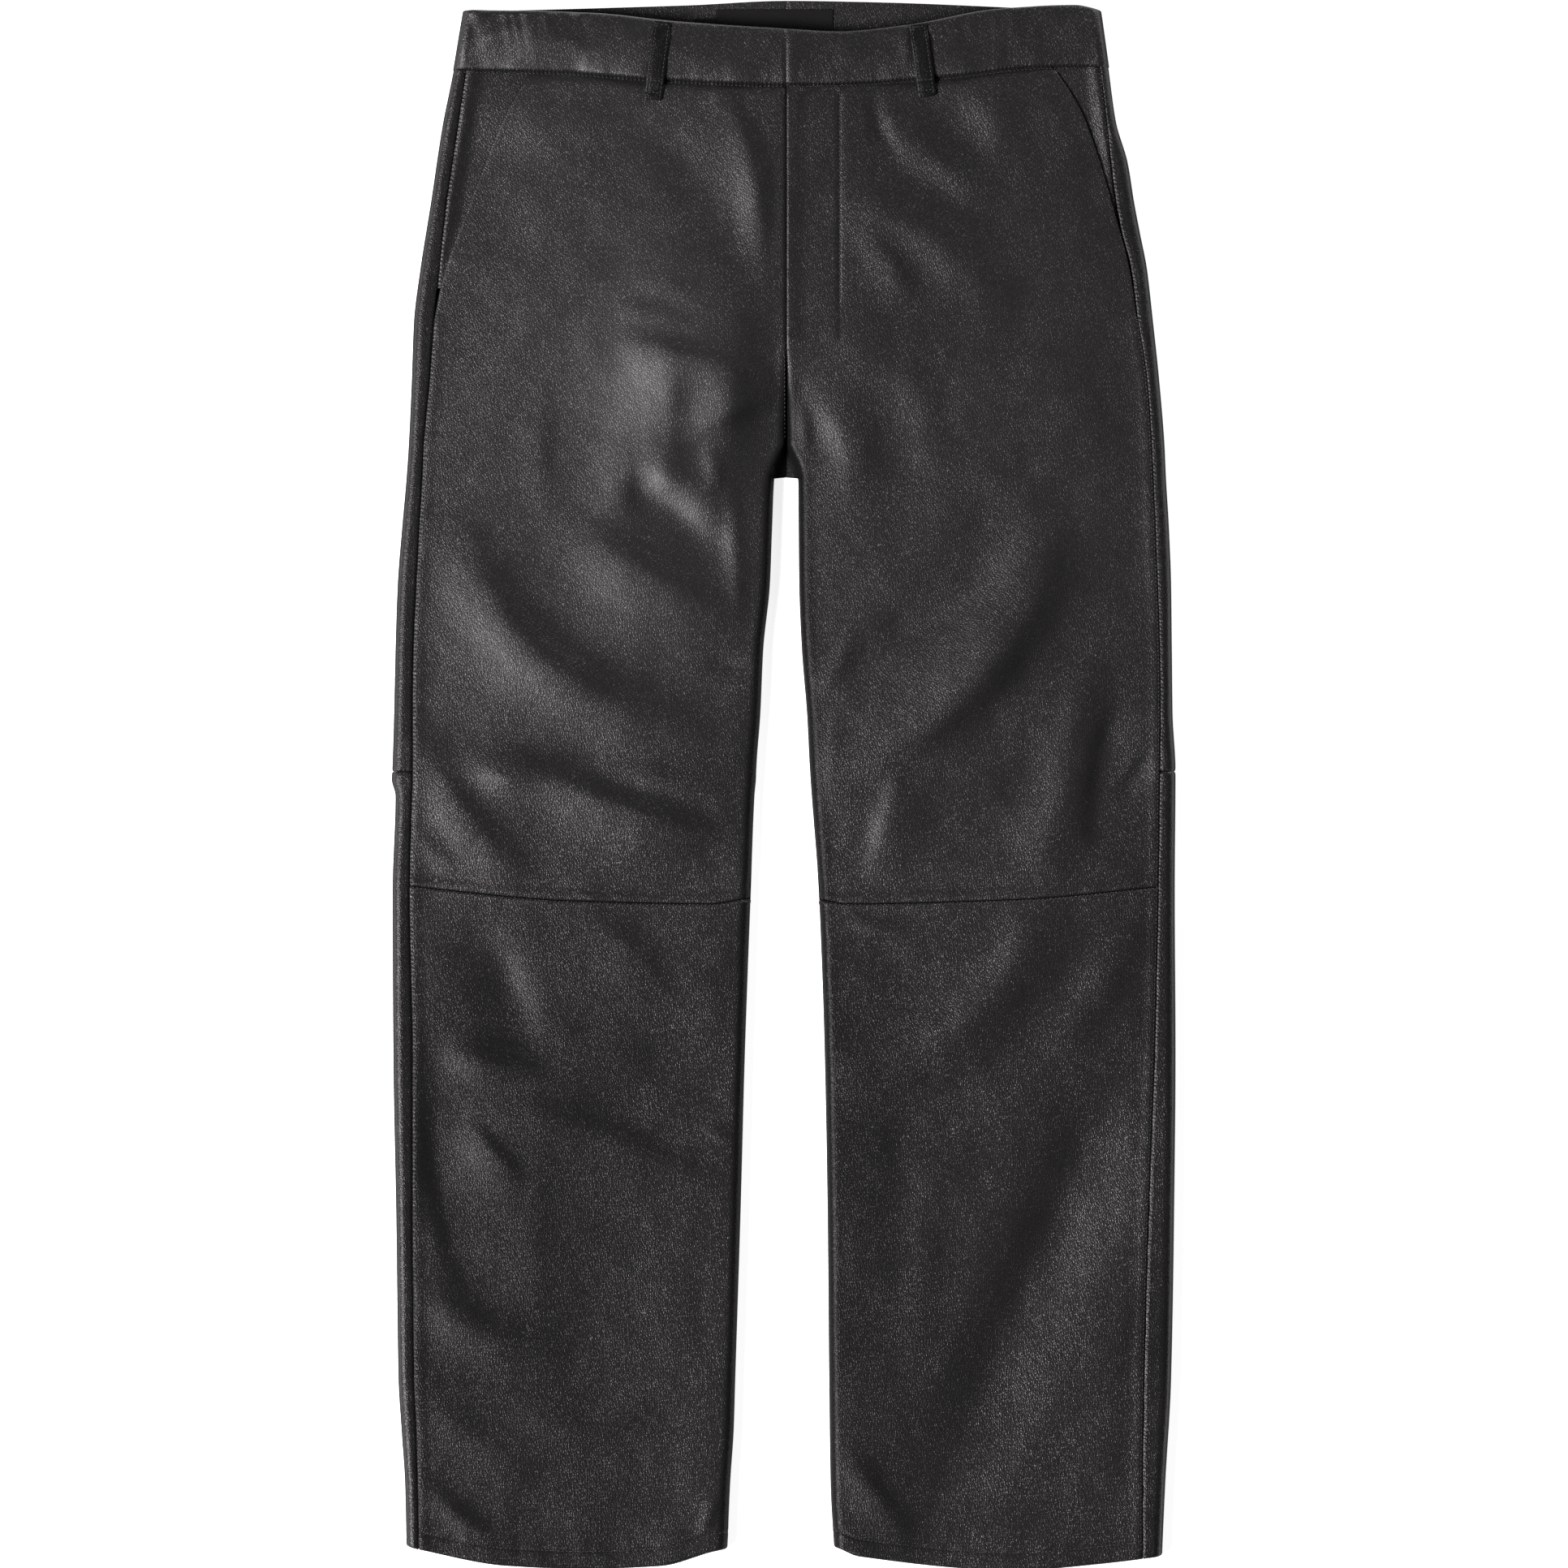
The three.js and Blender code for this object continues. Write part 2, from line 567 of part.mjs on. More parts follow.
// The side-front piece behind the pocket edge. It starts at the outseam and runs on under the front.
function pocketFacing(half, material) {
  const underlap = 10;
  const dropWidth = 8;
  const drop = 2.4;
  const seamEdge = 3;
  const pocketEdge = 1;
  const apart = 2;
  const heights = rowHeights(WAIST_Y, POCKET_FOOT_Y).slice(0, -1);
  const rows = heights.map((y) => {
    const span = (at) => Math.abs(half.seam(at) - half.slant(at));
    const middle = (at) => Math.max(2 * seamEdge, span(at) / 2);
    const pocket = (at) => Math.max(span(at) + pocketEdge, middle(at) + apart);
    const places = [
      (at) => half.seam(at),
      (at) => half.seam(at) - half.sign * seamEdge,
      (at) => half.seam(at) - half.sign * middle(at),
      (at) => half.seam(at) - half.sign * pocket(at),
      (at) => half.slant(at) - half.sign * underlap,
    ];
    return places.map((placeX) => {
      const { point, normal } = topPoint(placeX, y);
      const width = Math.abs(half.seam(point.y) - half.slant(point.y));
      const inside = Math.abs(half.seam(point.y) - point.x) + Math.max(dropWidth - width, 0);
      return { point: point.addScaledVector(normal, -drop * ease(inside / dropWidth)), normal };
    });
  });
  return panelMesh(`pocket_facing_${half.name}`, rows, () => FACING_LEATHER, material);
}

// Half of the waistband, from the centre front round the side to the centre back.
function waistband(half, material) {
  const frontColumns = 9;
  const backColumns = 4;
  const rowShares = [0, 1 / 3, 2 / 3, 1];
  const edge = [...EDGE_STEPS].reverse();
  const lastEdge = edge[0];
  const rows = rowShares.map((share) => {
    const frontY = (x) => lerp(frontWaistY(x), frontBandTopY(x), share);
    const backY = (x) => lerp(backWaistY(x), backBandTopY(x), share);
    const nominalY = lerp(WAIST_Y, BAND_TOP_Y, share);
    const bandPoint = (placeX, heightAt) => {
      const y = heightAt(placeX(nominalY));
      return [placeX(y), y];
    };
    const row = [];
    const pushTop = (placeX) => {
      const [x, y] = bandPoint(placeX, frontY);
      row.push(surfacePoint(x, y, topHeight(x, y), topNormal(x, y)));
    };
    for (let i = 0; i < frontColumns; i += 1) {
      pushTop((at) => lerp(CENTRE_X, half.outer(at) - half.sign * lastEdge, i / frontColumns));
    }
    edge.slice(0, -1).forEach((step) => pushTop((at) => half.outer(at) - half.sign * step));
    [0, 0.5, 1].forEach((turn) => {
      const angle = (turn * Math.PI) / 2;
      const placeX = (at) => half.outer(at) - half.sign * ROLL * (1 - Math.cos(angle));
      const [x, y] = bandPoint(placeX, turn === 1 ? backY : frontY);
      const normal = new THREE.Vector3(half.sign * Math.cos(angle), 0, -Math.sin(angle));
      row.push(surfacePoint(x, y, BACK_LIFT + ROLL * (1 - Math.sin(angle)), normal));
    });
    for (let i = 1; i <= backColumns; i += 1) {
      const placeX = (at) => lerp(half.outer(at) - half.sign * ROLL, CENTRE_X, i / backColumns);
      const [x, y] = bandPoint(placeX, backY);
      row.push(surfacePoint(x, y, BACK_LIFT, new THREE.Vector3(0, 0, -1)));
    }
    row.forEach((spot) => spot.point.addScaledVector(spot.normal, BAND_PROUD));
    return row;
  });
  return panelMesh(`waistband_${half.name}`, rows, () => BAND_LEATHER, material);
}

// A strip whose lower face is given as rows of points, with a thickness straight up.
function stripMesh(name, lower, thickness, material) {
  const upper = lower.map((row) => row.map((point) => point.clone().setZ(point.z + thickness)));
  return makeMesh(name, wallGeometry(upper, lower), material);
}

// A front loop climbs from the fronts onto the band over this short step below the waist seam.
const WAIST_STEP_START = 4;
const WAIST_STEP = 3;

// A front belt loop: sewn down at both ends, and held off the band between them for the belt.
function frontLoop({ name, top, foot }, material) {
  const sewn = 0.4;
  const rows = [
    { share: 0, gap: sewn },
    { share: 0.08, gap: sewn },
    { share: 0.24, gap: LOOP_STANDOFF },
    { share: 0.5, gap: LOOP_STANDOFF },
    { share: 0.74, gap: LOOP_STANDOFF },
    { share: 0.9, gap: sewn },
    { share: 1, gap: sewn },
  ];
  const down = new THREE.Vector2(foot[0] - top[0], foot[1] - top[1]).normalize();
  const across = new THREE.Vector2(-down.y, down.x);
  const lower = rows.map(({ share, gap }) => [-1, 0, 1].map((side) => {
    const x = lerp(top[0], foot[0], share) + (side * across.x * LOOP_WIDTH) / 2;
    const y = lerp(top[1], foot[1], share) + (side * across.y * LOOP_WIDTH) / 2;
    const proud = BAND_PROUD * ease((y - frontWaistY(x) + WAIST_STEP_START) / WAIST_STEP);
    return new THREE.Vector3(x, y, topHeight(x, y) + proud + gap);
  }));
  return stripMesh(name, lower, LOOP_LEATHER, material);
}

// A back belt loop: a flat strip between the band and the surface that the trousers lie on.
function backLoop({ name, x }, material) {
  const headY = backBandTopY(x) - LOOP_HEAD;
  const footY = backWaistY(x) - LOOP_FOOT;
  const edges = [x - LOOP_WIDTH / 2, x + LOOP_WIDTH / 2];
  const lower = [headY, footY].map((y) => edges.map((edgeX) => new THREE.Vector3(edgeX, y, 0)));
  return stripMesh(name, lower, LOOP_LEATHER, material);
}

// Where the strips of the fly begin below the waist seam, and end above the foot of the opening.
const STRIP_HEAD = 10;
const ZIP_FOOT = 12;
const UNDERLAP_FOOT = 4;

// A strip under the fronts at the fly, its upper face this deep below their outer face.
function flyStrip(name, columns, footY, material) {
  const heights = rowHeights(WAIST_Y, POCKET_FOOT_Y).map((y) => y - STRIP_HEAD).filter((y) => y > footY);
  const rows = [...heights, footY];
  const place = (x, y, depth) => new THREE.Vector3(x, y, topHeight(x, y) - depth);
  const upper = rows.map((y) => columns.map(({ x, depth }) => place(x, y, depth)));
  const lower = rows.map((y) => columns.map(({ x, depth, thickness }) => place(x, y, depth + thickness)));
  return makeMesh(name, wallGeometry(upper, lower), material);
}

const ZIP_COLUMNS = [
  { x: -12, depth: 2, thickness: 1 },
  { x: -1.5, depth: 2, thickness: 1 },
  { x: -1, depth: 2, thickness: 2.2 },
  { x: 4, depth: 2, thickness: 2.2 },
  { x: 4.5, depth: 2, thickness: 1 },
  { x: 16, depth: 2, thickness: 1 },
];
const UNDERLAP_COLUMNS = [-16, 1.6, 18, 33].map((x) => ({ x, depth: 4.8, thickness: LEATHER }));

const LABELS = [
  { name: 'waist_label', left: -46, right: 33, bottom: 499, top: 525, thickness: 0.8 },
  { name: 'size_tab', left: -60, right: -46.5, bottom: 505, top: 519, thickness: 0.6 },
];

// A flat label on the inside of the back waistband.
function labelMesh({ name, left, right, bottom, top, thickness }, material) {
  const rest = BACK_LIFT - BAND_PROUD + BAND_LEATHER + SEAM_GAP;
  const lower = [top, bottom].map((y) => [left, right].map((x) => new THREE.Vector3(x, y, rest)));
  return stripMesh(name, lower, thickness, material);
}

const hide = makeMaterial(0x2b2829, 0.5);
const facingHide = makeMaterial(0x2e2b2b, 0.55);
const bandHide = makeMaterial(0x302d2d, 0.5);
const loopHide = makeMaterial(0x242222, 0.5);
const zipTape = makeMaterial(0x1c1b1c, 0.8);
const labelCloth = makeMaterial(0x1f1e20, 0.85);

const trousers = new THREE.Group();
for (const half of [RIGHT, LEFT]) {
  trousers.add(waistband(half, bandHide));
  trousers.add(legPanel('front_upper', half, frontRow, WAIST_Y, KNEE_Y, hide));
  trousers.add(legPanel('front_lower', half, frontRow, KNEE_Y, HEM_Y, hide));
  trousers.add(pocketFacing(half, facingHide));
  trousers.add(legPanel('back_upper', half, backRow, WAIST_Y, BACK_SEAM_Y, hide));
  trousers.add(legPanel('back_lower', half, backRow, BACK_SEAM_Y, HEM_Y, hide));
}
for (const loop of FRONT_LOOPS) trousers.add(frontLoop(loop, loopHide));
for (const loop of BACK_LOOPS) trousers.add(backLoop(loop, loopHide));
trousers.add(flyStrip('zip', ZIP_COLUMNS, FLY_FOOT_Y + ZIP_FOOT, zipTape));
trousers.add(flyStrip('fly_underlap', UNDERLAP_COLUMNS, FLY_FOOT_Y + UNDERLAP_FOOT, hide));
for (const label of LABELS) trousers.add(labelMesh(label, labelCloth));

export default trousers;
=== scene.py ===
"""Leather trousers laid flat on their back, front up, seen from straight above."""

import math

import bpy
import numpy as np
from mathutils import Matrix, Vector
from mathutils.bvhtree import BVHTree


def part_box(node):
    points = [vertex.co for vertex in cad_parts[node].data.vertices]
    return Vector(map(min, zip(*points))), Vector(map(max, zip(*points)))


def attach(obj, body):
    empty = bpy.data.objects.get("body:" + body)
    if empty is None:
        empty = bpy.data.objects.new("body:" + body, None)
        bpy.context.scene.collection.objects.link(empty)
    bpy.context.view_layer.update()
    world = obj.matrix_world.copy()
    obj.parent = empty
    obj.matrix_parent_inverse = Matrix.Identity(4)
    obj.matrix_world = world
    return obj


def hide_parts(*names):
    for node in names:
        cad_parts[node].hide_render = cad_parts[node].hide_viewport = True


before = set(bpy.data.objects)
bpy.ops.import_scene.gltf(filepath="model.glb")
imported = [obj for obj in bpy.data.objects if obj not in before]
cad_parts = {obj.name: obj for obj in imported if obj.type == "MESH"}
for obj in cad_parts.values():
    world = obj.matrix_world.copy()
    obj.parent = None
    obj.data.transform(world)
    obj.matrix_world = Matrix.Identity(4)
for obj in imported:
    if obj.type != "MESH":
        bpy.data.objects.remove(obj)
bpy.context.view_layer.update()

# The tables and the form are in millimetres, as the construction is. Meshes are made in metres.
MM = 0.001
LEATHER = 1.5
BAND_LEATHER = 3
FACING_LEATHER = 1.2
CENTRE_X = 1.6

# Heights along the garment at which a seam or an edge runs across it.
BAND_TOP_Y = 522
WAIST_Y = 478
POCKET_FOOT_Y = 315
FLY_FOOT_Y = 296
FORK_Y = 230
CROTCH_Y = 208
LEG_TOP_Y = 207
BACK_SEAM_Y = 8.5
KNEE_Y = -77
HEM_Y = -523
BAND_DEPTH = BAND_TOP_Y - WAIST_Y

# The rolled edge of the flattened cloth.
ROLL = 5
EDGE_RISE = 9.5
EDGE_RUN = 6
BACK_LIFT = 2.5
LIFT_RUN = 40
BAND_PROUD = 0.5
CROTCH_HEIGHT = 3.4
CREASE_FADE = 14
TORSO_ENDS_Y = 300
TORSO_FADE = 78

# How far from a cross seam or an edge the rows of a panel still follow its curve.
WAIST_PULL = 150
KNEE_PULL = 85
HEM_PULL = 150

# A distance at which a seam leaves no mark, and a place far below, to tell which way is out.
FAR = 50.0
FAR_BELOW = np.array((0, 0, -1000))

LOOP_WIDTH = 11
LOOP_LEATHER = 1.7
LOOP_STANDOFF = 2.5
LOOP_FOOT = 14


def table(columns, *rows):
    """Rows with named columns. A short row leaves the last columns out."""
    names = columns.split()
    return [dict(zip(names, row)) for row in rows]


# Plan outline of each half: outer fold, outseam on top of it, and inner fold.
RIGHT_OUTLINE = table(
    "y outer seam inner",
    (524, -217, -209),
    (483.5, -224, -215),
    (443.5, -232, -221),
    (394, -239.5, -228.5),
    (350, -246.5, -233.5),
    (313.5, -251, -237),
    (273, -252.5, -240),
    (FORK_Y, -254.5, -244, CENTRE_X),
    (CROTCH_Y, -256, -245, -6.5),
    (174, -259, -247, -8),
    (135.5, -262, -249, -9.5),
    (91.5, -263.5, -251, -14),
    (47.5, -264.5, -251.5, -16),
    (14.5, -265.5, -251.5, -18.5),
    (3, -266, -251.5, -19),
    (-8, -263.5, -252, -20),
    (-73.5, -265.5, -253.5, -22.5),
    (-183.5, -265, -251.5, -26.5),
    (-293.5, -263, -251.5, -29.5),
    (-403.5, -261.5, -250.5, -33),
    (-436.5, -259.5, -249, -34),
    (-475, -257, -248, -36.5),
    (-520, -256, -247, -38.5),
)
LEFT_OUTLINE = table(
    "y outer seam inner",
    (524, 214.5, 207.5),
    (484.5, 220, 214),
    (449, 225, 218.5),
    (421.5, 233, 221.5),
    (394, 237.5, 225),
    (373, 241.5, 229),
    (350, 246, 235),
    (315.5, 250, 239.5),
    (273, 254.5, 246),
    (FORK_Y, 258, 249, CENTRE_X),
    (CROTCH_Y, 259, 250, 9.5),
    (174, 261, 251.5, 9.8),
    (135.5, 262.5, 253, 10.2),
    (91.5, 263, 254.5, 12),
    (47.5, 263.5, 255, 15.5),
    (9, 265.5, 254.5, 17.5),
    (-73.5, 265, 253.5, 23.5),
    (-183.5, 265.5, 251, 27.5),
    (-293.5, 264.5, 247, 29.5),
    (-403.5, 262.5, 244, 30.5),
    (-475, 258.5, 243, 31.5),
    (-520, 256.5, 243, 34),
)

# Slanted pocket edges, and the seams and edges that run across.
RIGHT_SLANT = table(
    "y x", (482, -172.5), (452.5, -189), (394.5, -212.5), (341.5, -231.5), (POCKET_FOOT_Y, -236.8),
)
LEFT_SLANT = table("y x", (486, 182), (451, 203), (376, 226.8), (350, 233.6), (POCKET_FOOT_Y, 239))
FRONT_BAND_TOP = table(
    "x y", (-215, 523.5), (-130, 521.5), (-75.5, 516), (CENTRE_X, 510.8), (36, 509), (84, 513.5), (143, 524),
    (197, 527), (214.5, 523.5),
)
FRONT_WAIST = table(
    "x y", (-224, 483.5), (-155.5, 482), (-80, 476.5), (CENTRE_X, 473.5), (36, 474), (105.5, 478.5),
    (183.5, 486), (219.5, 485.5),
)
BACK_BAND_TOP = table("x y", (-215, 523.5), (-64, 528), (CENTRE_X, 531), (62.5, 530), (214.5, 523.5))
BACK_WAIST = table("x y", (-224, 483.5), (CENTRE_X, 490), (219.5, 485.5))
KNEE_SEAM = table(
    "x y", (-252.5, -69.5), (-152.5, -79), (-49.5, -81.5), (-23.5, -78), (26.5, -79), (41, -81.5),
    (158, -78.5), (253.5, -70),
)
HEM_EDGE = table(
    "x y", (-256.5, -515), (-187, -528), (-135.5, -530), (-83.5, -528), (-38.5, -517), (34, -516),
    (50.5, -521.5), (158, -531), (211, -527), (256.5, -521.5),
)

# Height of the front above the surface down the middle: over both halves, and over one leg.
THICKNESS = table(
    "y torso leg",
    (BAND_TOP_Y, 17.5, 17),
    (WAIST_Y, 18, 17),
    (370, 20.5, 17),
    (250, 21.5, 17),
    (60, 20, 16),
    (-300, 18, 15),
    (HEM_Y, 17, 15),
)

# Creases as lines through three places, in millimetres. The widths are those to the left and the right
# of a line as it runs, so one side may be steep and the other gentle. A negative rise is a valley.
GREAT_CREASES = table(
    "start via end left right rise",
    # right hip and crotch
    ((-92, 454), (-50, 396), (-26, 340), 20, 20, -1.9),
    ((-36, 350), (-40, 258), (-58, 176), 19, 60, 4.7),
    ((-105, 297), (-60, 287), (-6, 269), 9, 24, 2.8),
    ((-6, 266), (-36, 252), (-64, 238), 8, 14, 2.4),
    ((-84, 306), (-80, 248), (-88, 190), 14, 34, 2.4),
    ((-98, 232), (-72, 204), (-36, 196), 13, 13, 1.9),
    # right thigh and knee
    ((-112, 203), (-78, 187), (-40, 148), 10, 14, -2.2),
    ((-132, 166), (-92, 142), (-38, 112), 15, 30, 4.4),
    ((-216, 168), (-164, 85), (-56, 32), 17, 27, 6),
    ((-224, 12), (-172, 6), (-122, -6), 14, 13, 3.4),
    ((-150, -2), (-98, -20), (-42, -38), 11, 26, 4.4),
    ((-246, 38), (-222, -14), (-176, -66), 12, 18, 3),
    # right shin
    ((-208, -88), (-188, -138), (-170, -190), 16, 26, -2.4),
    ((-132, -96), (-103, -116), (-78, -150), 12, 28, 1.6),
    ((-228, -176), (-200, -190), (-164, -190), 14, 12, 2.8),
    ((-200, -222), (-125, -240), (-48, -274), 13, 34, 2.3),
    ((-232, -196), (-232, -275), (-204, -356), 34, 9, -2.4),
    ((-250, -335), (-215, -366), (-160, -388), 14, 16, 2.4),
    # left hip and crotch
    ((108, 488), (140, 453), (167, 392), 20, 16, 1.9),
    ((70, 440), (108, 421), (144, 392), 16, 14, 2.8),
    ((40, 396), (92, 375), (146, 348), 18, 18, 3.4),
    ((16, 264), (42, 236), (44, 186), 20, 12, 2.6),
    # left thigh and knee
    ((180, 176), (138, 80), (34, 4), 17, 25, 6),
    ((155, 178), (108, 118), (34, 82), 14, 26, -2.6),
    ((202, 30), (187, -15), (158, -62), 20, 17, 3),
    ((228, 56), (214, 10), (211, -44), 24, 7, -2.4),
    ((80, 10), (71, -24), (60, -62), 20, 8, 2.2),
    # left shin
    ((172, -86), (130, -154), (42, -196), 22, 15, 4.2),
    ((232, -198), (176, -318), (106, -495), 32, 24, -4.4),
)
FINE_CREASES = table(
    "start via end left right rise",
    # right hip
    ((-42, 470), (-20, 414), (-18, 350), 7, 11, 2),
    ((-195, 448), (-150, 446), (-108, 452), 16, 24, 1.4),
    ((-112, 318), (-88, 319), (-58, 306), 6, 9, 0.6),
    ((-112, 338), (-85, 339), (-52, 322), 7, 8, 0.5),
    ((-207, 300), (-179, 339), (-146, 366), 9, 9, 0.6),
    ((-205, 262), (-165, 318), (-120, 350), 12, 12, 0.7),
    # right crotch and thigh
    ((-112, 235), (-108, 205), (-112, 178), 8, 18, 1.4),
    ((-163, 262), (-165, 225), (-162, 186), 7, 14, 0.8),
    ((-52, 232), (-47, 214), (-44, 200), 5, 7, 1.2),
    ((-36, 205), (-33, 160), (-31, 108), 6, 6, 1.1),
    ((-53, 79), (-39, 81), (-22, 76), 5, 5, -0.8),
    ((-120, 8), (-88, 4), (-48, -2), 9, 7, 1.2),
    ((-203, 8), (-189, 4), (-174, 4), 4, 5, 0.9),
    ((-248, -30), (-236, -46), (-218, -60), 6, 8, 1),
    # right shin
    ((-214, -230), (-198, -248), (-180, -268), 6, 18, 1.7),
    ((-246, -404), (-222, -436), (-182, -452), 12, 18, 1.2),
    ((-176, -424), (-128, -436), (-80, -402), 14, 12, 1.2),
    ((-242, -474), (-220, -496), (-192, -512), 7, 10, 1.8),
    ((-55, -230), (-42, -238), (-32, -239), 4, 5, 0.9),
    ((-46, -480), (-50, -495), (-58, -508), 4, 5, 1),
    ((-170, -266), (-168, -320), (-172, -376), 10, 14, 0.6),
    # left hip and crotch
    ((48, 378), (72, 352), (86, 326), 9, 13, 1.8),
    ((95, 352), (128, 340), (165, 322), 12, 14, 1.1),
    ((60, 468), (65, 443), (79, 421), 6, 6, -1.2),
    ((118, 456), (150, 458), (186, 462), 14, 20, 1),
    ((82, 305), (92, 250), (105, 210), 14, 12, 0.8),
    ((8, 262), (13, 242), (15, 215), 4, 5, 1),
    # left thigh and knee
    ((19, 64), (36, 79), (45, 102), 6, 8, 1.4),
    ((210, 76), (198, 45), (178, 20), 12, 12, 1.4),
    ((250, 24), (238, 6), (226, -8), 9, 5, -1.3),
    # left shin
    ((232, -95), (212, -140), (186, -176), 14, 12, 1.2),
    ((44, -452), (64, -484), (88, -512), 8, 12, 1.8),
    ((96, -235), (96, -310), (88, -390), 14, 12, 0.7),
    ((45, -92), (62, -97), (80, -95), 5, 5, 1),
    # waistband
    ((-207, 493), (-196, 506), (-168, 512), 6, 6, 1.2),
    ((-179, 497), (-152, 504), (-135, 498), 5, 5, 0.8),
    ((82, 517), (83, 500), (82, 485), 4, 4, 0.7),
)
# Shallow hollows of the underside, where the cloth doesn't touch the surface.
UNDERSIDE_HOLLOWS = table(
    "start via end left right rise",
    ((-180, 120), (-130, 80), (-70, 60), 14, 18, 1.2),
    ((-210, 10), (-140, -20), (-60, -10), 12, 16, 1.4),
    ((-190, -200), (-130, -230), (-70, -220), 13, 20, 1.1),
    ((60, 100), (130, 70), (200, 90), 14, 18, 1.2),
    ((60, 0), (130, -25), (210, 5), 12, 16, 1.4),
    ((70, -260), (130, -240), (200, -270), 13, 18, 1),
    ((-120, 330), (-60, 290), (-20, 300), 13, 15, 1),
    ((20, 290), (70, 300), (130, 340), 13, 15, 1),
)

FRONT_LOOPS = table(
    "name top foot",
    ("belt_loop_front_right", (-82, 515.6), (-88.5, 463.8)),
    ("belt_loop_front_left", (90.5, 513.9), (97, 465.8)),
)
BACK_LOOPS = table(
    "name x",
    ("belt_loop_back_right", -118),
    ("belt_loop_back_centre", CENTRE_X),
    ("belt_loop_back_left", 118),
)

# Stitched lines that don't follow a seam.
FLY_FOOT_STITCHES = ((37.6, 322), (36, 314), (33, 309), (27, 302), (18, 297.5), (2.5, 293.5))
BAR_TACKS = (
    ((-176.5, 470), (-171, 470)),
    ((-237.5, 312), (-234, 314)),
    ((182, 474), (188.5, 474)),
    ((237, 316), (241, 314)),
)
STITCH_LENGTH = 2.1
STITCH_PITCH = 2.75
THREAD_RADIUS = 0.33
THREAD_SIDES = 5


def ease(share):
    """A smooth step from 0 to 1."""
    t = np.clip(share, 0.0, 1.0)
    return t * t * (3 - 2 * t)


def lerp(first, last, share):
    return first + (last - first) * share


def grid(x, y, z):
    """Points from their coordinates, each spread over the whole grid."""
    return np.stack(np.broadcast_arrays(x, y, z), axis=-1)


def curve_through(rows, along, value):
    """A smooth curve through the rows of a table. It never overshoots them."""
    found = sorted((row[along], row[value]) for row in rows if value in row)
    places = np.array([place for place, _ in found], float)
    values = np.array([height for _, height in found], float)
    pitch = np.diff(values) / np.diff(places)
    before = np.concatenate((pitch[:1], pitch))
    after = np.concatenate((pitch, pitch[-1:]))
    same_way = before * after > 0
    slopes = np.where(same_way, 2 * before * after / np.where(same_way, before + after, 1), 0)

    def at(place):
        inside = np.clip(place, places[0], places[-1])
        i = np.clip(np.searchsorted(places, inside) - 1, 0, len(places) - 2)
        span = places[i + 1] - places[i]
        t = (inside - places[i]) / span
        leave = t * (1 - t) ** 2 * span * slopes[i]
        arrive = t * t * (1 - t) * span * slopes[i + 1]
        return lerp(values[i], values[i + 1], t * t * (3 - 2 * t)) + leave - arrive

    return at


class Half:
    """One half of the trousers: its sign across, and its outline as curves."""

    def __init__(self, name, sign, outline, slant, **edges):
        self.name = name
        self.__dict__.update(edges)
        self.sign = sign
        self.outer = curve_through(outline, "y", "outer")
        self.seam = curve_through(outline, "y", "seam")
        self.inner = curve_through(outline, "y", "inner")
        self.slant = curve_through(slant, "y", "x")

    def inner_edge(self, y):
        return np.where(y > FORK_Y, CENTRE_X, self.inner(y))


# The edges of the two halves differ: how far the pocket edge rolls down and its facing lies below it, how
# much the strip beside the outseam leans into the seam, how wide the painted shade is along the inner leg and
# in the crotch, and the height from which the painted shade on the edge of the inner leg starts.
# The left side of each shin gets painted shade: fully as far in as shade_from, and not at all from shade_to.
RIGHT_EDGES = {
    "pocket_roll": 0.7, "pocket_drop": 2.4, "strip_lean": 1.5, "dark_edge": 10, "dark_wedge": 12,
    "dark_from": 225, "shade_from": 110, "shade_to": 215,
}
LEFT_EDGES = {
    "pocket_roll": 0.15, "pocket_drop": 1.85, "strip_lean": 0.2, "dark_edge": 15, "dark_wedge": 11,
    "dark_from": 290, "shade_from": 25, "shade_to": 95,
}
RIGHT = Half("right", -1, RIGHT_OUTLINE, RIGHT_SLANT, **RIGHT_EDGES)
LEFT = Half("left", 1, LEFT_OUTLINE, LEFT_SLANT, **LEFT_EDGES)
HALVES = (RIGHT, LEFT)

front_band_top_y = curve_through(FRONT_BAND_TOP, "x", "y")
front_waist_y = curve_through(FRONT_WAIST, "x", "y")
back_band_top_y = curve_through(BACK_BAND_TOP, "x", "y")
back_waist_y = curve_through(BACK_WAIST, "x", "y")
knee_seam_y = curve_through(KNEE_SEAM, "x", "y")
hem_edge_y = curve_through(HEM_EDGE, "x", "y")
torso_height = curve_through(THICKNESS, "y", "torso")
leg_height = curve_through(THICKNESS, "y", "leg")


def bent_line(crease, steps=36):
    """Points of the curve through start, via and end. It runs on a little at both ends, where it fades."""
    start, via, end = (np.array(crease[key], float) for key in ("start", "via", "end"))
    pull = 2 * via - (start + end) / 2
    t = np.linspace(-0.12, 1.12, steps + 1)[:, None]
    return (1 - t) ** 2 * start + 2 * t * (1 - t) * pull + t * t * end


TOP_CREASES = [{**crease, "line": bent_line(crease)} for crease in GREAT_CREASES + FINE_CREASES]
BOTTOM_CREASES = [{**crease, "line": bent_line(crease)} for crease in UNDERSIDE_HOLLOWS]


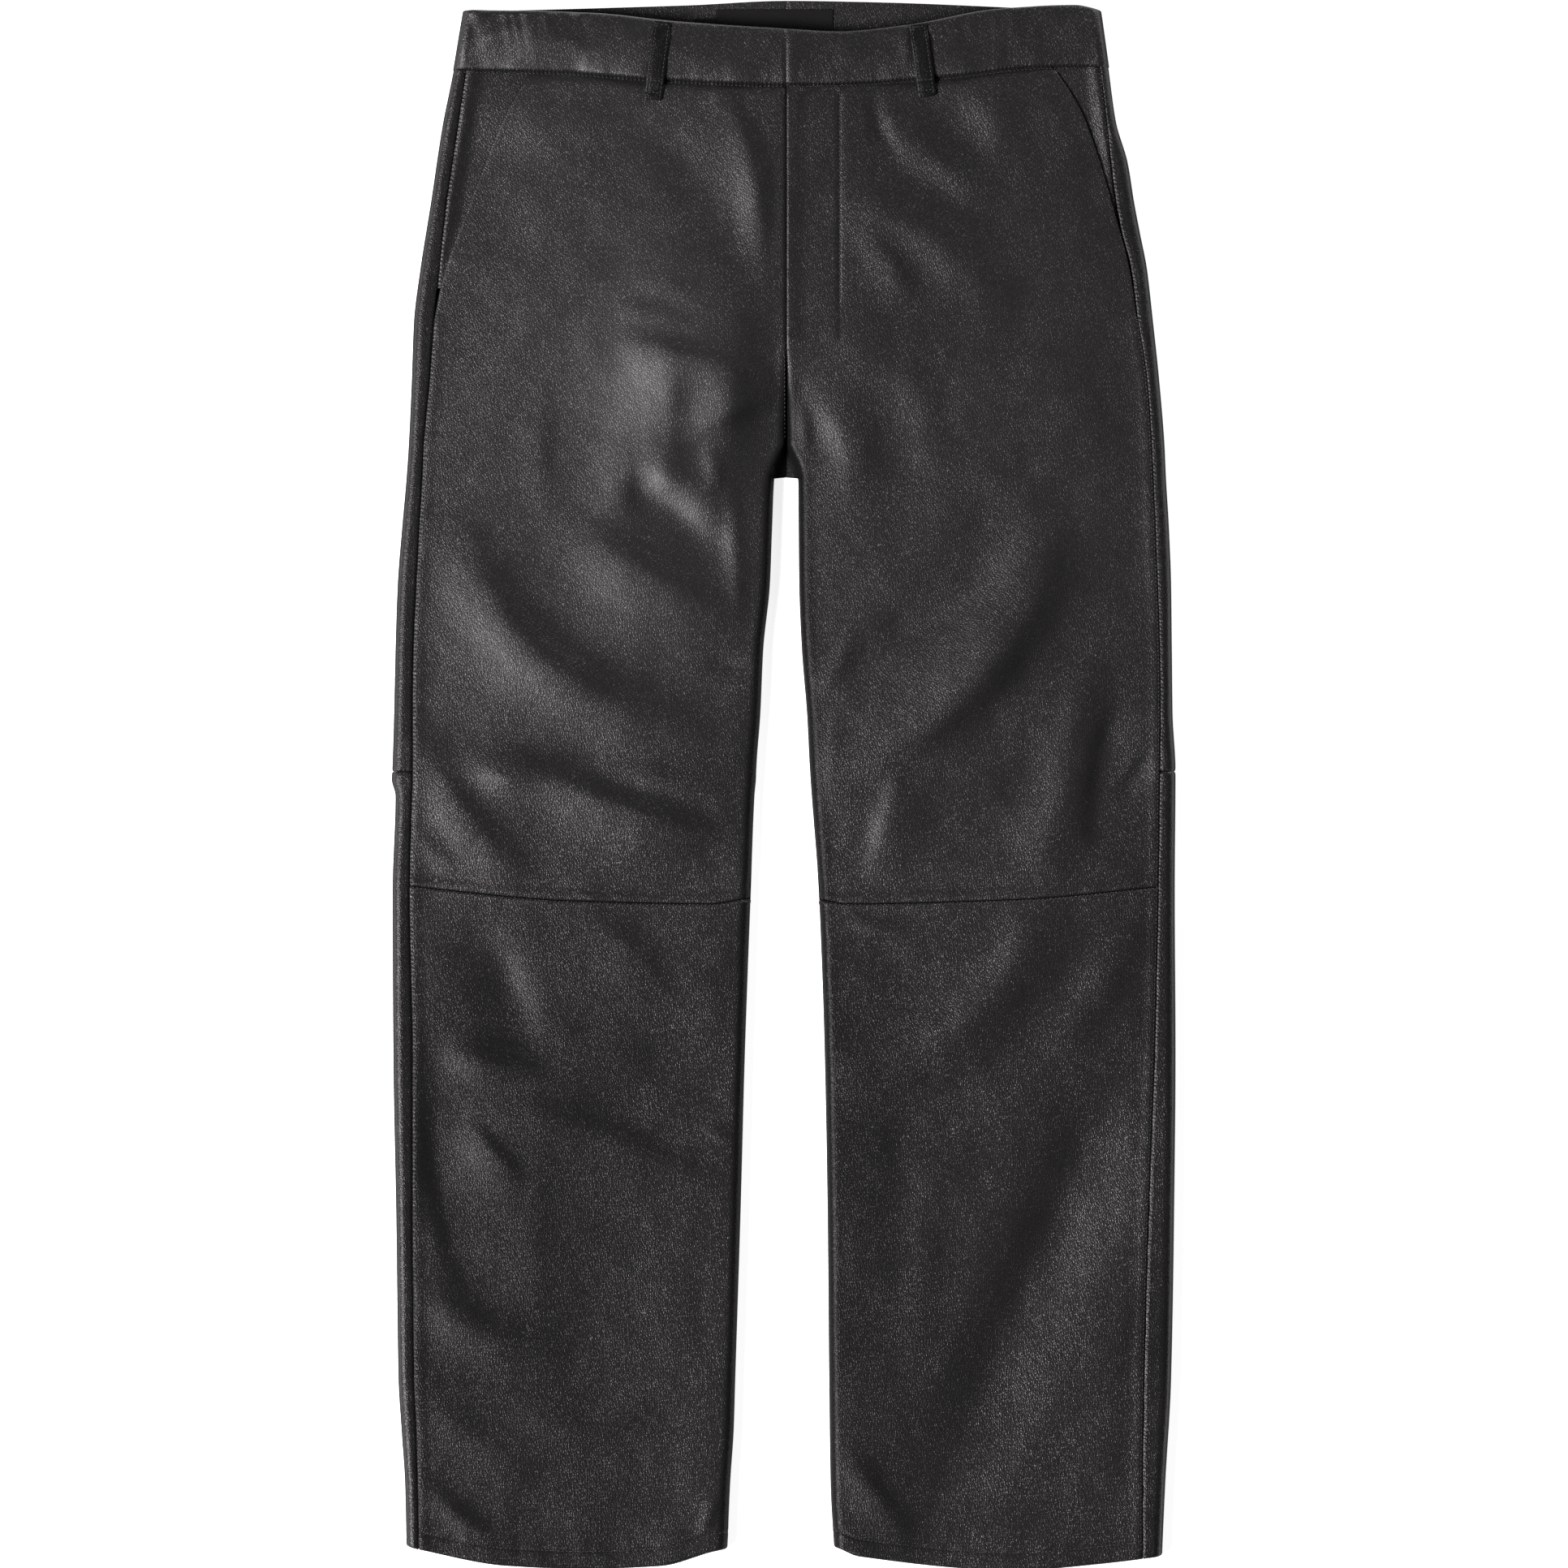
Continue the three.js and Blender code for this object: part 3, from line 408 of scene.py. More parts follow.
def crease_height(creases, x, y):
    """Height that creases add: soft ridges and valleys that taper to their ends."""
    x, y = np.broadcast_arrays(x, y)
    total = np.zeros(x.shape)
    for crease in creases:
        line = crease["line"]
        reach = 3 * max(crease["left"], crease["right"])
        low, high = line.min(0) - reach, line.max(0) + reach
        near = (x > low[0]) & (x < high[0]) & (y > low[1]) & (y < high[1])
        if not near.any():
            continue
        spots = np.stack((x[near], y[near]), axis=-1)[:, None]
        run = np.diff(line, axis=0)
        t = np.clip(((spots - line[:-1]) * run).sum(-1) / (run**2).sum(-1), 0, 1)
        away = spots - line[:-1] - t[..., None] * run
        gaps = np.linalg.norm(away, axis=-1)
        each, nearest = np.arange(len(gaps)), gaps.argmin(axis=1)
        gap, away, run = gaps[each, nearest], away[each, nearest], run[nearest]
        on_left = run[:, 0] * away[:, 1] - run[:, 1] * away[:, 0] > 0
        width = np.where(on_left, crease["left"], crease["right"])
        share = (nearest + t[each, nearest]) / (len(line) - 1)
        taper = np.sin(math.pi * share) ** 1.5
        total[near] += crease["rise"] * taper * np.exp(-((gap / width) ** 2))
    return total


def lift_at(y):
    """How far the underside is held off the surface by the back belt loops."""
    return BACK_LIFT * ease((y - (WAIST_Y - LOOP_FOOT) + LIFT_RUN) / LIFT_RUN)


def edge_roll(distance):
    left = 1 - np.clip(distance / EDGE_RUN, 0, 1)
    return EDGE_RISE * np.sqrt(1 - left * left)


def top_height(half, x, y):
    """Height of the outer face of the top layer over a plan point."""
    out = np.abs(x - CENTRE_X)
    outer_out = half.sign * (half.outer(y) - CENTRE_X)
    inset = half.sign * (half.inner_edge(y) - CENTRE_X)
    base = lift_at(y) + ROLL
    from_outer = np.maximum(outer_out - out, 0)
    across_torso = from_outer / (2 * outer_out)
    torso_crown = torso_height(y) - base - EDGE_RISE
    torso = base + edge_roll(from_outer) + torso_crown * 4 * across_torso * (1 - across_torso)
    from_inner = out - inset
    inside = np.minimum(from_outer, np.maximum(from_inner, 0))
    across_leg = from_outer / (outer_out - inset)
    leg_crown = leg_height(y) - base - EDGE_RISE
    leg = base + edge_roll(inside) + leg_crown * 4 * across_leg * (1 - across_leg)
    sag = np.clip((FORK_Y - y) / (FORK_Y - CROTCH_Y), 0, 1)
    valley = base - (base - CROTCH_HEIGHT) * sag * (1 - out / np.maximum(inset, 0.01))
    leg = np.where(from_inner >= 0, leg, valley)
    fade = ease(inside / CREASE_FADE)
    return lerp(torso, leg, ease((TORSO_ENDS_Y - y) / TORSO_FADE)) + fade * crease_height(TOP_CREASES, x, y)


def seam_shift(x, y, under):
    """How far a row is moved along by the seams and edges that run across."""
    waist = (back_waist_y if under else front_waist_y)(x)
    near_waist = ease((y - WAIST_Y + WAIST_PULL) / WAIST_PULL)
    near_knee = ease(1 - np.abs(y - KNEE_Y) / KNEE_PULL)
    near_hem = ease((HEM_Y + HEM_PULL - y) / HEM_PULL)
    knee, hem = knee_seam_y(x) - KNEE_Y, hem_edge_y(x) - HEM_Y
    return (waist - WAIST_Y) * near_waist + knee * near_knee + hem * near_hem


def settle(place_x, y, under=False):
    """Settles points whose x follows the outline and whose y follows the seams."""
    at = y
    for _ in range(3):
        at = y + seam_shift(place_x(at), y, under)
    return place_x(at), at


def soft_noise(x, y, size, seed):
    """Smooth uneven heights from -1 to 1 with bumps of this size."""
    chance = np.random.default_rng(seed)
    lattice = chance.uniform(-1, 1, (97, 97))
    u, v = x / size + 500, y / size + 500
    i, j = np.floor(u).astype(int), np.floor(v).astype(int)
    s, t = ease(u - i), ease(v - j)
    i, j, after_i, after_j = i % 97, j % 97, (i + 1) % 97, (j + 1) % 97
    near = lerp(lattice[i, j], lattice[after_i, j], s)
    far = lerp(lattice[i, after_j], lattice[after_i, after_j], s)
    return lerp(near, far, t)


# Stitches sink into a narrow channel, which has grid lines of its own.
HEM_STITCH = 10.4
FLY_STITCH = 36
CHANNEL_DEPTH = 0.5
CHANNEL_WIDTH = 0.9
CHANNEL_STEPS = (-1.9, -0.9, 0, 0.9, 1.9)


def channel(distance):
    return -CHANNEL_DEPTH * np.exp(-((distance / CHANNEL_WIDTH) ** 2))


# Distances of grid lines from a panel's edge, close together where it rolls into a seam.
EDGE_PLACES = np.array((0, 0.9, 1.8, 2.9, 4.3, 6.1, 8.2))
GRID_STEP = 2.6


def places(length, step=GRID_STEP):
    """Distances along a length, close together at both ends."""
    reach = EDGE_PLACES[-1]
    count = max(int((length - 2 * reach) / step), 1)
    middle = np.linspace(reach, length - reach, count + 1)[1:-1]
    return np.concatenate((EDGE_PLACES, middle, length - EDGE_PLACES[::-1]))


def grid_rows(top, bottom):
    """Heights of the rows of a panel, with the heights at which the form changes."""
    rows = top - places(top - bottom)
    stops = [stop for stop in (FORK_Y, CROTCH_Y, LEG_TOP_Y) if bottom < stop < top]
    if bottom == HEM_Y:
        stops += [HEM_Y + HEM_STITCH + step for step in CHANNEL_STEPS]
    kept = [y for y in rows if all(abs(y - stop) > 0.8 for stop in stops)]
    return np.array(sorted(kept + stops, reverse=True))


def normals_of(points, core):
    """Outward directions of a grid of points, away from the core of the form."""
    across = np.gradient(points, axis=1)
    along = np.gradient(points, axis=0)
    normals = np.cross(across, along)
    normals /= np.maximum(np.linalg.norm(normals, axis=-1, keepdims=True), 1e-9)
    return normals if np.sum(normals * (points - core)) > 0 else -normals


# How each edge rolls into its seam: how deep, and from how far in.
ROLLS = {
    "outseam": (0.8, 2.2),
    "centre": (0.7, 1.3),
    "fly": (0.9, 1.5),
    "above_knee": (1.2, 3.4),
    "below_knee": (0.8, 1.8),
    "strip": (0.5, 1.2),
    "back_seam": (0.9, 2.6),
    "facing": (0.9, 2.6),
    "band_foot": (1.6, 3.6),
    "band_top": (1.2, 3),
    "band_centre": (0.6, 1.2),
}
# How much the turned allowance lifts each seam, and how wide it is.
ALLOWANCES = {"outseam": (0.3, 7.5), "centre": (0.2, 6), "above_knee": (0.5, 7.5)}
# The puffs beside each seam: the seed of their unevenness, their height, and how far they reach.
PUFFS = {
    "outseam": (21, 0.22, 7),
    "centre": (25, 0.18, 5),
    "above_knee": (31, 0.14, 5),
    "below_knee": (35, 0.14, 5),
    "waist": (41, 0.35, 14),
    "hem": (45, 0.25, 6),
    "strip": (51, 0.3, 6),
    "facing": (61, 0.2, 6),
    "band": (77, 0.3, 9),
}
# The fly: the left front lies over it by a rise that ends so far in, and the right front dips under it.
LAP_RISE = 1.2
LAP_RUN = 14
UNDER_DIP = 0.6
UNDER_RUN = 2.5
# How deep and how wide the panels dip at a cross seam, and how the lower one lifts just below the knee.
KNEE_DIP, KNEE_DIP_RUN = 0.9, 26
KNEE_LIP, KNEE_LIP_RUN = 0.5, 4
WAIST_DIP, WAIST_DIP_RUN = 1.4, 7


def rolled_down(distance, depth, width):
    """The edge of a panel rolls down into its seam."""
    left = 1 - np.clip(distance / width, 0, 1)
    return -depth * (1 - np.sqrt(1 - left * left))


def allowance(distance, height, width):
    """The turned seam allowance raises the leather over it."""
    return height * ease((width - distance) / 2.5)


def pucker(run, distance, seed, height, reach):
    """Small uneven puffs beside a stitched seam."""
    waves = soft_noise(run, 0 * run, 9, seed) + 0.6 * soft_noise(run, 0 * run, 4.5, seed + 1)
    return height * waves * np.exp(-distance / reach)


def slack(x, y, seed):
    """Low uneven swells of the whole surface."""
    broad = 0.6 * soft_noise(x, y, 62, seed) + 0.32 * soft_noise(x, y, 27, seed + 1)
    return broad + 0.13 * soft_noise(x, y, 11, seed + 2)


def to_rows(values, rows):
    """Repeats the last row, for the rows that a turned hem adds."""
    return np.concatenate((values, np.repeat(values[-1:], rows - len(values), axis=0)))


# Each piece of cloth keeps where its seams are and where it gets painted shade, for the marks in its
# material.
def sheet_mesh(name, points, leather, materials, kept=None, rim=0.4, core=None):
    """A wall of cloth whose outer face is a grid of points in millimetres."""
    rows, columns = points.shape[:2]
    core = FAR_BELOW if core is None else to_rows(core, rows)[:-1, :-1]
    index = np.arange(rows * columns).reshape(rows, columns)
    corners = (index[:-1, :-1], index[:-1, 1:], index[1:, 1:], index[1:, :-1])
    faces = np.stack(corners, axis=-1).reshape(-1, 4)
    turn = np.cross(points[:-1, 1:] - points[:-1, :-1], points[1:, :-1] - points[:-1, :-1])
    if np.sum(turn * (points[:-1, :-1] - core)) < 0:
        faces = faces[:, ::-1]
    mesh = bpy.data.meshes.new(name)
    mesh.from_pydata((points.reshape(-1, 3) * MM).tolist(), [], faces.tolist())
    turned = np.cross(np.gradient(points, axis=1), np.gradient(points, axis=0))
    # How steep each point is, for the painted shade on steep faces.
    steepness = 1 - np.abs(turned[..., 2]) / np.maximum(np.linalg.norm(turned, axis=-1), 1e-9)
    for key, values in {"steepness": steepness, **(kept or {})}.items():
        values = to_rows(np.broadcast_to(values, (len(values), columns)), rows).astype(np.float32)
        mesh.attributes.new(key, "FLOAT", "POINT").data.foreach_set("value", values.ravel())
    for material in materials:
        mesh.materials.append(material)
    piece = bpy.data.objects.new(name, mesh)
    bpy.context.scene.collection.objects.link(piece)
    inner = 1 if len(materials) > 1 else 0
    apply_modifier(piece, "SOLIDIFY", thickness=leather * MM, offset=-1, material_offset=inner)
    sharp = {"limit_method": "ANGLE", "angle_limit": math.radians(62)}
    apply_modifier(piece, "BEVEL", width=rim * MM, segments=2, **sharp)
    piece.data.shade_smooth()
    return piece


def apply_modifier(piece, kind, **settings):
    modifier = piece.modifiers.new(kind.lower(), kind)
    for name, value in settings.items():
        setattr(modifier, name, value)
    bpy.context.view_layer.objects.active = piece
    bpy.ops.object.modifier_apply(modifier=modifier.name)


def declare_cloth(piece, node):
    """Hangs a piece of cloth on the root and hides the CAD part that it stands for."""
    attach(piece, "root")
    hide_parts(node)


class Value:
    """A number or colour that changes over a surface. Plain operators add the nodes that work it out."""

    def __init__(self, finish, socket):
        self.finish = finish
        self.socket = socket

    def __add__(self, other):
        return self.finish.maths("ADD", self, other)

    def __sub__(self, other):
        return self.finish.maths("SUBTRACT", self, other)

    def __rsub__(self, other):
        return self.finish.maths("SUBTRACT", other, self)

    def __mul__(self, other):
        return self.finish.maths("MULTIPLY", self, other)

    __radd__ = __add__
    __rmul__ = __mul__


class Finish:
    """A material, with short ways to add its nodes."""

    def __init__(self, name):
        self.material = bpy.data.materials.new(name)
        self.material.use_nodes = True
        self.tree = self.material.node_tree
        self.tree.nodes.clear()
        self.place = self.add("ShaderNodeTexCoord", output="Object")

    def add(self, kind, settings=None, inputs=None, output=0):
        """Adds a node: its settings first, then its sockets. Gives one of its outputs."""
        node = self.tree.nodes.new(kind)
        for key, value in (settings or {}).items():
            setattr(node, key, value)
        for key, value in (inputs or {}).items():
            if isinstance(value, Value):
                self.tree.links.new(value.socket, node.inputs[key])
            else:
                node.inputs[key].default_value = value
        return None if output is None else Value(self, node.outputs[output])

    def maths(self, operation, *values):
        return self.add("ShaderNodeMath", {"operation": operation}, dict(enumerate(values)))

    def noise(self, scale, detail=2.0, roughness=0.5):
        inputs = {"Vector": self.place, "Scale": scale, "Detail": detail, "Roughness": roughness}
        return self.add("ShaderNodeTexNoise", None, inputs, "Fac")

    def between(self, value, low, high):
        """0 below low and 1 above high, with a smooth step between."""
        inputs = {"Value": value, "From Min": low, "From Max": high}
        return self.add("ShaderNodeMapRange", {"interpolation_type": "SMOOTHSTEP"}, inputs)

    def mixed(self, share, first, second):
        """A colour between two others."""
        inputs = {0: share, 6: first, 7: second}
        return self.add("ShaderNodeMix", {"data_type": "RGBA"}, inputs, 2)

    def along(self, axis):
        return self.add("ShaderNodeSeparateXYZ", None, {"Vector": self.place}, axis)

    def kept(self, name):
        """A value that the mesh keeps at its points."""
        return self.add("ShaderNodeAttribute", {"attribute_name": name}, None, "Fac")

    def bump(self, height, depth):
        inputs = {"Height": height, "Distance": depth, "Strength": 1.0}
        return self.add("ShaderNodeBump", None, inputs, "Normal")

    def shader(self, **inputs):
        """The shader that light meets. Words in the names of its sockets are joined with underscores."""
        names = {key: key.replace("_", " ").title().replace("Ior", "IOR") for key in inputs}
        sockets = {names[key]: value for key, value in inputs.items()}
        return self.add("ShaderNodeBsdfPrincipled", None, sockets)

    def finished(self, shader):
        self.add("ShaderNodeOutputMaterial", None, {"Surface": shader}, None)
        return self.material

    def surface(self, **inputs):
        return self.finished(self.shader(**inputs))


# Width of a cell of the grain, and how far the cells wander, in millimetres.
GRAIN_CELL = 1.5
GRAIN_WOBBLE = 0.9


def pebble_grain(finish):
    """Fine pebbled grain: rounded cells parted by a net of narrow creases."""
    wobble = finish.noise(420, 1)
    shift = finish.add("ShaderNodeCombineXYZ", None, {0: wobble, 1: wobble, 2: wobble})
    parts = {0: shift, 1: (GRAIN_WOBBLE * MM,) * 3, 2: finish.place}
    shifted = finish.add("ShaderNodeVectorMath", {"operation": "MULTIPLY_ADD"}, parts)
    inputs = {"Vector": shifted, "Scale": 1 / (GRAIN_CELL * MM)}
    edge = finish.add("ShaderNodeTexVoronoi", {"feature": "DISTANCE_TO_EDGE"}, inputs, "Distance")
    return finish.between(edge, 0.0, 0.32)


def stitch_marks(finish):
    """Dents where each stitch of a seam pulls the leather in."""
    marks = None
    for key, axis in (("cross_seam", 0), ("long_seam", 1)):
        wave = finish.maths("COSINE", finish.along(axis) * (2 * math.pi / (STITCH_PITCH * MM)))
        near = finish.between(finish.kept(key), 2.6, 0.6)
        mark = (wave * 0.5 + 0.5) * near
        marks = mark if marks is None else marks + mark
    return marks


def hide_finish(name, dark, light, seams=True, gloss=0.36):
    """Dyed full-grain leather with a low sheen, mixed towards a dark matte shader for painted shade."""
    finish = Finish(name)
    grain = pebble_grain(finish)
    uneven = finish.noise(9, 3)
    patches = finish.noise(38, 3)
    depth = 0.8 + 0.2 * finish.between(patches, 0.3, 0.7)
    height = grain * depth + 0.35 * finish.noise(1900, 2) + 0.5 * finish.noise(170, 3)
    if seams:
        height = height - 1.6 * stitch_marks(finish)
    colour = finish.mixed(finish.between(uneven, 0.3, 0.7), dark, light)
    colour = finish.mixed(0.6 * (1 - grain), colour, (*[0.4 * part for part in dark[:3]], 1))
    high_up = finish.between(finish.along(1), -0.2, 0.15)
    roughness = 0.345 + 0.045 * high_up + 0.04 * patches - 0.06 * grain
    leather = finish.shader(
        base_color=colour, roughness=roughness, normal=finish.bump(height, 0.00012), specular_ior_level=gloss,
        specular_tint=(1, 0.945, 0.965, 1), coat_weight=0.5 * finish.kept("polished"), coat_roughness=0.42,
        coat_tint=(1, 0.97, 0.98, 1),
    )
    # Painted shade: steep faces and the places that the mesh keeps as shaded are mixed towards this dark
    # matte shader.
    painted_shade = finish.shader(base_color=(0.004, 0.0038, 0.0038, 1), roughness=0.9, specular_ior_level=0.02)
    edge = finish.maths("MAXIMUM", finish.between(finish.kept("steepness"), 0.25, 0.8), finish.kept("shaded"))
    return finish.finished(finish.add("ShaderNodeMixShader", None, {0: 0.9 * edge, 1: leather, 2: painted_shade}))


def flesh_finish(name):
    """The napped inner side of the leather."""
    finish = Finish(name)
    nap = finish.noise(1400, 4, 0.7)
    colour = finish.mixed(nap, (0.012, 0.011, 0.011, 1), (0.028, 0.026, 0.025, 1))
    return finish.surface(
        base_color=colour, roughness=0.92 - 0.1 * nap, normal=finish.bump(nap, 0.0002), sheen_weight=0.15
    )


def woven_finish(name, dark, light, pitch):
    """Plain-woven cloth with threads at this pitch in millimetres."""
    finish = Finish(name)
    turns = 2 * math.pi / (pitch * MM)
    warp = finish.maths("SINE", finish.along(0) * turns)
    weft = finish.maths("SINE", finish.along(1) * turns)
    weave = warp * weft * 0.5 + 0.5
    fibre = finish.noise(3000, 2)
    colour = finish.mixed(weave * 0.7 + fibre * 0.3, dark, light)
    return finish.surface(
        base_color=colour, roughness=0.75 + 0.15 * fibre, normal=finish.bump(weave + fibre * 0.3, 0.00012),
        specular_ior_level=0.15,
    )


def thread_finish(name):
    """Twisted sewing thread."""
    finish = Finish(name)
    twist = finish.maths("SINE", (finish.along(0) + finish.along(1)) * (2 * math.pi / (0.5 * MM)))
    fibre = finish.noise(5000, 2)
    colour = finish.mixed(fibre, (0.004, 0.004, 0.004, 1), (0.009, 0.009, 0.009, 1))
    return finish.surface(
        base_color=colour, roughness=0.42 + 0.12 * fibre, normal=finish.bump(twist * 0.5 + fibre, 0.00006)
    )


hide = hide_finish("trouser_leather", (0.0078, 0.0073, 0.0072, 1), (0.0110, 0.0102, 0.0100, 1))
band_hide = hide_finish("waistband_leather", (0.0080, 0.0075, 0.0074, 1), (0.0112, 0.0104, 0.0102, 1))
facing_hide = hide_finish("pocket_facing_leather", (0.0080, 0.0075, 0.0074, 1), (0.0112, 0.0104, 0.0102, 1))
# The belt loops' leather is painted darker than the trouser leather: painted shade.
LOOP_DARK, LOOP_LIGHT = (0.0045, 0.0042, 0.0042, 1), (0.0070, 0.0065, 0.0064, 1)
loop_hide = hide_finish("belt_loop_leather", LOOP_DARK, LOOP_LIGHT, seams=False, gloss=0.22)
flesh = flesh_finish("leather_flesh_side")
label_cloth = woven_finish("woven_label", (0.0020, 0.0020, 0.0024, 1), (0.0060, 0.0060, 0.0068, 1), 0.5)
tape_cloth = woven_finish("zip_tape", (0.0090, 0.0090, 0.0095, 1), (0.0180, 0.0180, 0.0190, 1), 0.6)
thread = thread_finish("sewing_thread")


# The nominal width of a front panel, for spacing its columns.
PANEL_WIDTH = 235

# The painted shade on the edge of the inner leg fades in over this length. The left side of each shin gets
# painted shade of SHIN_SHADE, which fades in from SHIN_TOP down.
DARK_FADE = 30
SHIN_SHADE = 0.5
SHIN_TOP = -20
SHIN_FADE = 190

# Where wear has polished the leather: a place, how far it reaches each way in millimetres, and how much.
POLISHED = table(
    "place width length share",
    ((-95, 300), 75, 120, 1),
    ((-70, 250), 44, 80, 0.4),
    ((-120, 490), 90, 60, 0.6),
    ((-110, 130), 80, 70, 0.5),
    ((180, 260), 110, 210, 0.35),
)


def polish(x, y):
    """How polished the leather is at a place."""
    total = 0 * x
    for spot in POLISHED:
        across, along = spot["place"]
        away = ((x - across) / spot["width"]) ** 2 + ((y - along) / spot["length"]) ** 2
        total = total + spot["share"] * np.exp(-away)
    return np.minimum(total, 1)


def panel_columns():
    """Share of the way across and offset from it for the columns of a front panel."""
    distances = places(PANEL_WIDTH)
    stitched = FLY_STITCH + np.array(CHANNEL_STEPS)
    first = FLY_STITCH + 5
    clear = (distances < FLY_STITCH - 3) | (distances > first)
    distances = np.sort(np.concatenate((distances[clear], stitched)))
    last = PANEL_WIDTH - EDGE_PLACES[-1]
    share = np.clip((distances - first) / (last - first), 0, 1)
    offset = distances - share * PANEL_WIDTH
    return share, offset


def front_shade(half, x, y, from_inner, from_outer):
    """How much painted shade a front gets: along the inner leg, in the wedge of the crotch, and on the shin.
    """
    leg_edge = ease(1 - from_inner / half.dark_edge) * ease((half.dark_from - y) / DARK_FADE)
    wedge = half.dark_wedge * np.clip((FORK_Y - y) / (FORK_Y - CROTCH_Y), 0, 1)
    crotch = ease((wedge - np.abs(x - CENTRE_X)) / 3 + 0.6) * (y < FORK_Y) * (y > LEG_TOP_Y - 8)
    from_left = from_outer if half is RIGHT else from_inner
    shin = ease((half.shade_to - from_left) / (half.shade_to - half.shade_from))
    shin = shin * ease((SHIN_TOP - y) / SHIN_FADE)
    return np.maximum(np.maximum(leg_edge, crotch), SHIN_SHADE * shin)


def front_panel(half, node, top, bottom):
    """The front of one leg between two cross seams, from the centre or inseam to the pocket or outseam."""
    y = grid_rows(top, bottom)[:, None]
    share, offset = panel_columns()
    follow = ease((offset + PANEL_WIDTH * share) / 2.5)

    def outer_line(at):
        return np.where(at > POCKET_FOOT_Y, half.slant(at), half.seam(at))

    def inner_line(at):
        keep = np.where(y > LEG_TOP_Y, follow, 1)
        return CENTRE_X + (half.inner_edge(at) - CENTRE_X) * keep

    def place_x(at):
        inner = inner_line(at)
        return inner + (outer_line(at) - inner) * share + half.sign * offset

    x, at = settle(place_x, y + 0 * share)
    points = grid(x, at, top_height(half, x, at))
    from_inner = np.abs(x - inner_line(at))
    from_outer = np.abs(outer_line(at) - x)
    from_top, from_bottom = top - y, y - bottom
    is_seam = at < POCKET_FOOT_Y
    relief = slack(x, at, 11) * ease(np.minimum(from_inner, from_outer) / 20)
    outseam = rolled_down(from_outer, *ROLLS["outseam"]) + allowance(from_outer, *ALLOWANCES["outseam"])
    relief += np.where(is_seam, outseam, rolled_down(from_outer, half.pocket_roll, 2))
    relief += pucker(at, from_outer, *PUFFS["outseam"])
    in_fly = ease((at - FLY_FOOT_Y) / 6)
    over = LAP_RISE * ease(1 - from_inner / LAP_RUN) + rolled_down(from_inner, *ROLLS["fly"])
    lap = over if half is LEFT else -UNDER_DIP * ease(1 - from_inner / UNDER_RUN)
    centre = rolled_down(from_inner, *ROLLS["centre"]) + allowance(from_inner, *ALLOWANCES["centre"])
    on_torso = ease((at - CROTCH_Y) / 20)
    relief += lerp(centre * on_torso, lap, in_fly) + pucker(at, from_inner, *PUFFS["centre"]) * on_torso
    if half is LEFT:
        relief += channel(from_inner - FLY_STITCH) * ease((at - FLY_FOOT_Y - 22) / 8)
        relief += 0.35 * ease((FLY_STITCH - from_inner) / 2) * in_fly
    if bottom == KNEE_Y:
        relief += rolled_down(from_bottom, *ROLLS["above_knee"])
        relief += allowance(from_bottom, *ALLOWANCES["above_knee"])
        relief += pucker(x, from_bottom, *PUFFS["above_knee"])
        relief -= KNEE_DIP * ease(1 - from_bottom / KNEE_DIP_RUN)
    if top == KNEE_Y:
        relief += rolled_down(from_top, *ROLLS["below_knee"]) + KNEE_LIP * ease(1 - from_top / KNEE_LIP_RUN)
        relief += pucker(x, from_top, *PUFFS["below_knee"])
    if top == WAIST_Y:
        relief += pucker(x, from_top, *PUFFS["waist"]) - WAIST_DIP * ease(1 - from_top / WAIST_DIP_RUN)
    if bottom == HEM_Y:
        from_stitch = from_bottom - HEM_STITCH
        relief += channel(from_stitch) + pucker(x, np.abs(from_stitch), *PUFFS["hem"])
    core = grid(x.mean(axis=1, keepdims=True), at, 8)
    normals = normals_of(points, core)
    points += normals * relief[..., None]
    if bottom == HEM_Y:
        hem_rows.append(points[np.abs(from_bottom[:, 0] - HEM_STITCH).argmin(), 1:-1, :2])
        points = turned_hem(points, normals)
    if top == WAIST_Y and half is LEFT:
        straight = (y[:, 0] > FLY_FOOT_Y + 28) & (y[:, 0] < WAIST_Y - 2)
        fly_rows.append(points[straight, np.abs(offset - FLY_STITCH).argmin(), :2])
    kept = seam_distances(y, from_inner, from_outer, top, bottom, is_seam)
    kept["shaded"] = front_shade(half, x, at, from_inner, from_outer)
    kept["polished"] = polish(x, at)
    piece = sheet_mesh(f"{node}_leather", points, LEATHER, (hide, flesh), kept, core=core)
    declare_cloth(piece, node)
    return piece


def seam_distances(y, from_inner, from_outer, top, bottom, is_seam):
    """Distance of each point from the nearest stitched seam along it and across it."""
    long_seam = np.minimum(np.where(is_seam, from_outer, FAR), np.where(y < FLY_FOOT_Y, from_inner, FAR))
    cross = np.full(y.shape, FAR)
    if top == KNEE_Y:
        cross = np.minimum(cross, top - y)
    if bottom == KNEE_Y:
        cross = np.minimum(cross, y - bottom + 1.5)
    if top == WAIST_Y:
        cross = np.minimum(cross, top - y)
    return {"long_seam": long_seam, "cross_seam": cross}


HEM_FOLD_RADIUS = 1.65
HEM_TURN_UP = 16


def turned_hem(points, normals):
    """Carries a leg's last row round the hem fold and back up inside."""
    last, normal = points[-1], normals[-1]
    down = points[-1] - points[-2]
    down /= np.linalg.norm(down, axis=-1, keepdims=True)
    rows = [points]
    for angle in np.radians((36, 72, 108, 144, 180)):
        depth = HEM_FOLD_RADIUS * (1 - math.cos(angle))
        rows.append((last + down * HEM_FOLD_RADIUS * math.sin(angle) - normal * depth)[None])
    above_hem = (points[..., 1] - last[:, 1]).mean(axis=1)
    inside = [i for i in reversed(range(len(points) - 1)) if above_hem[i] < HEM_TURN_UP]
    rows += [(points[i] - normals[i] * 2 * HEM_FOLD_RADIUS)[None] for i in inside]
    return np.concatenate(rows)


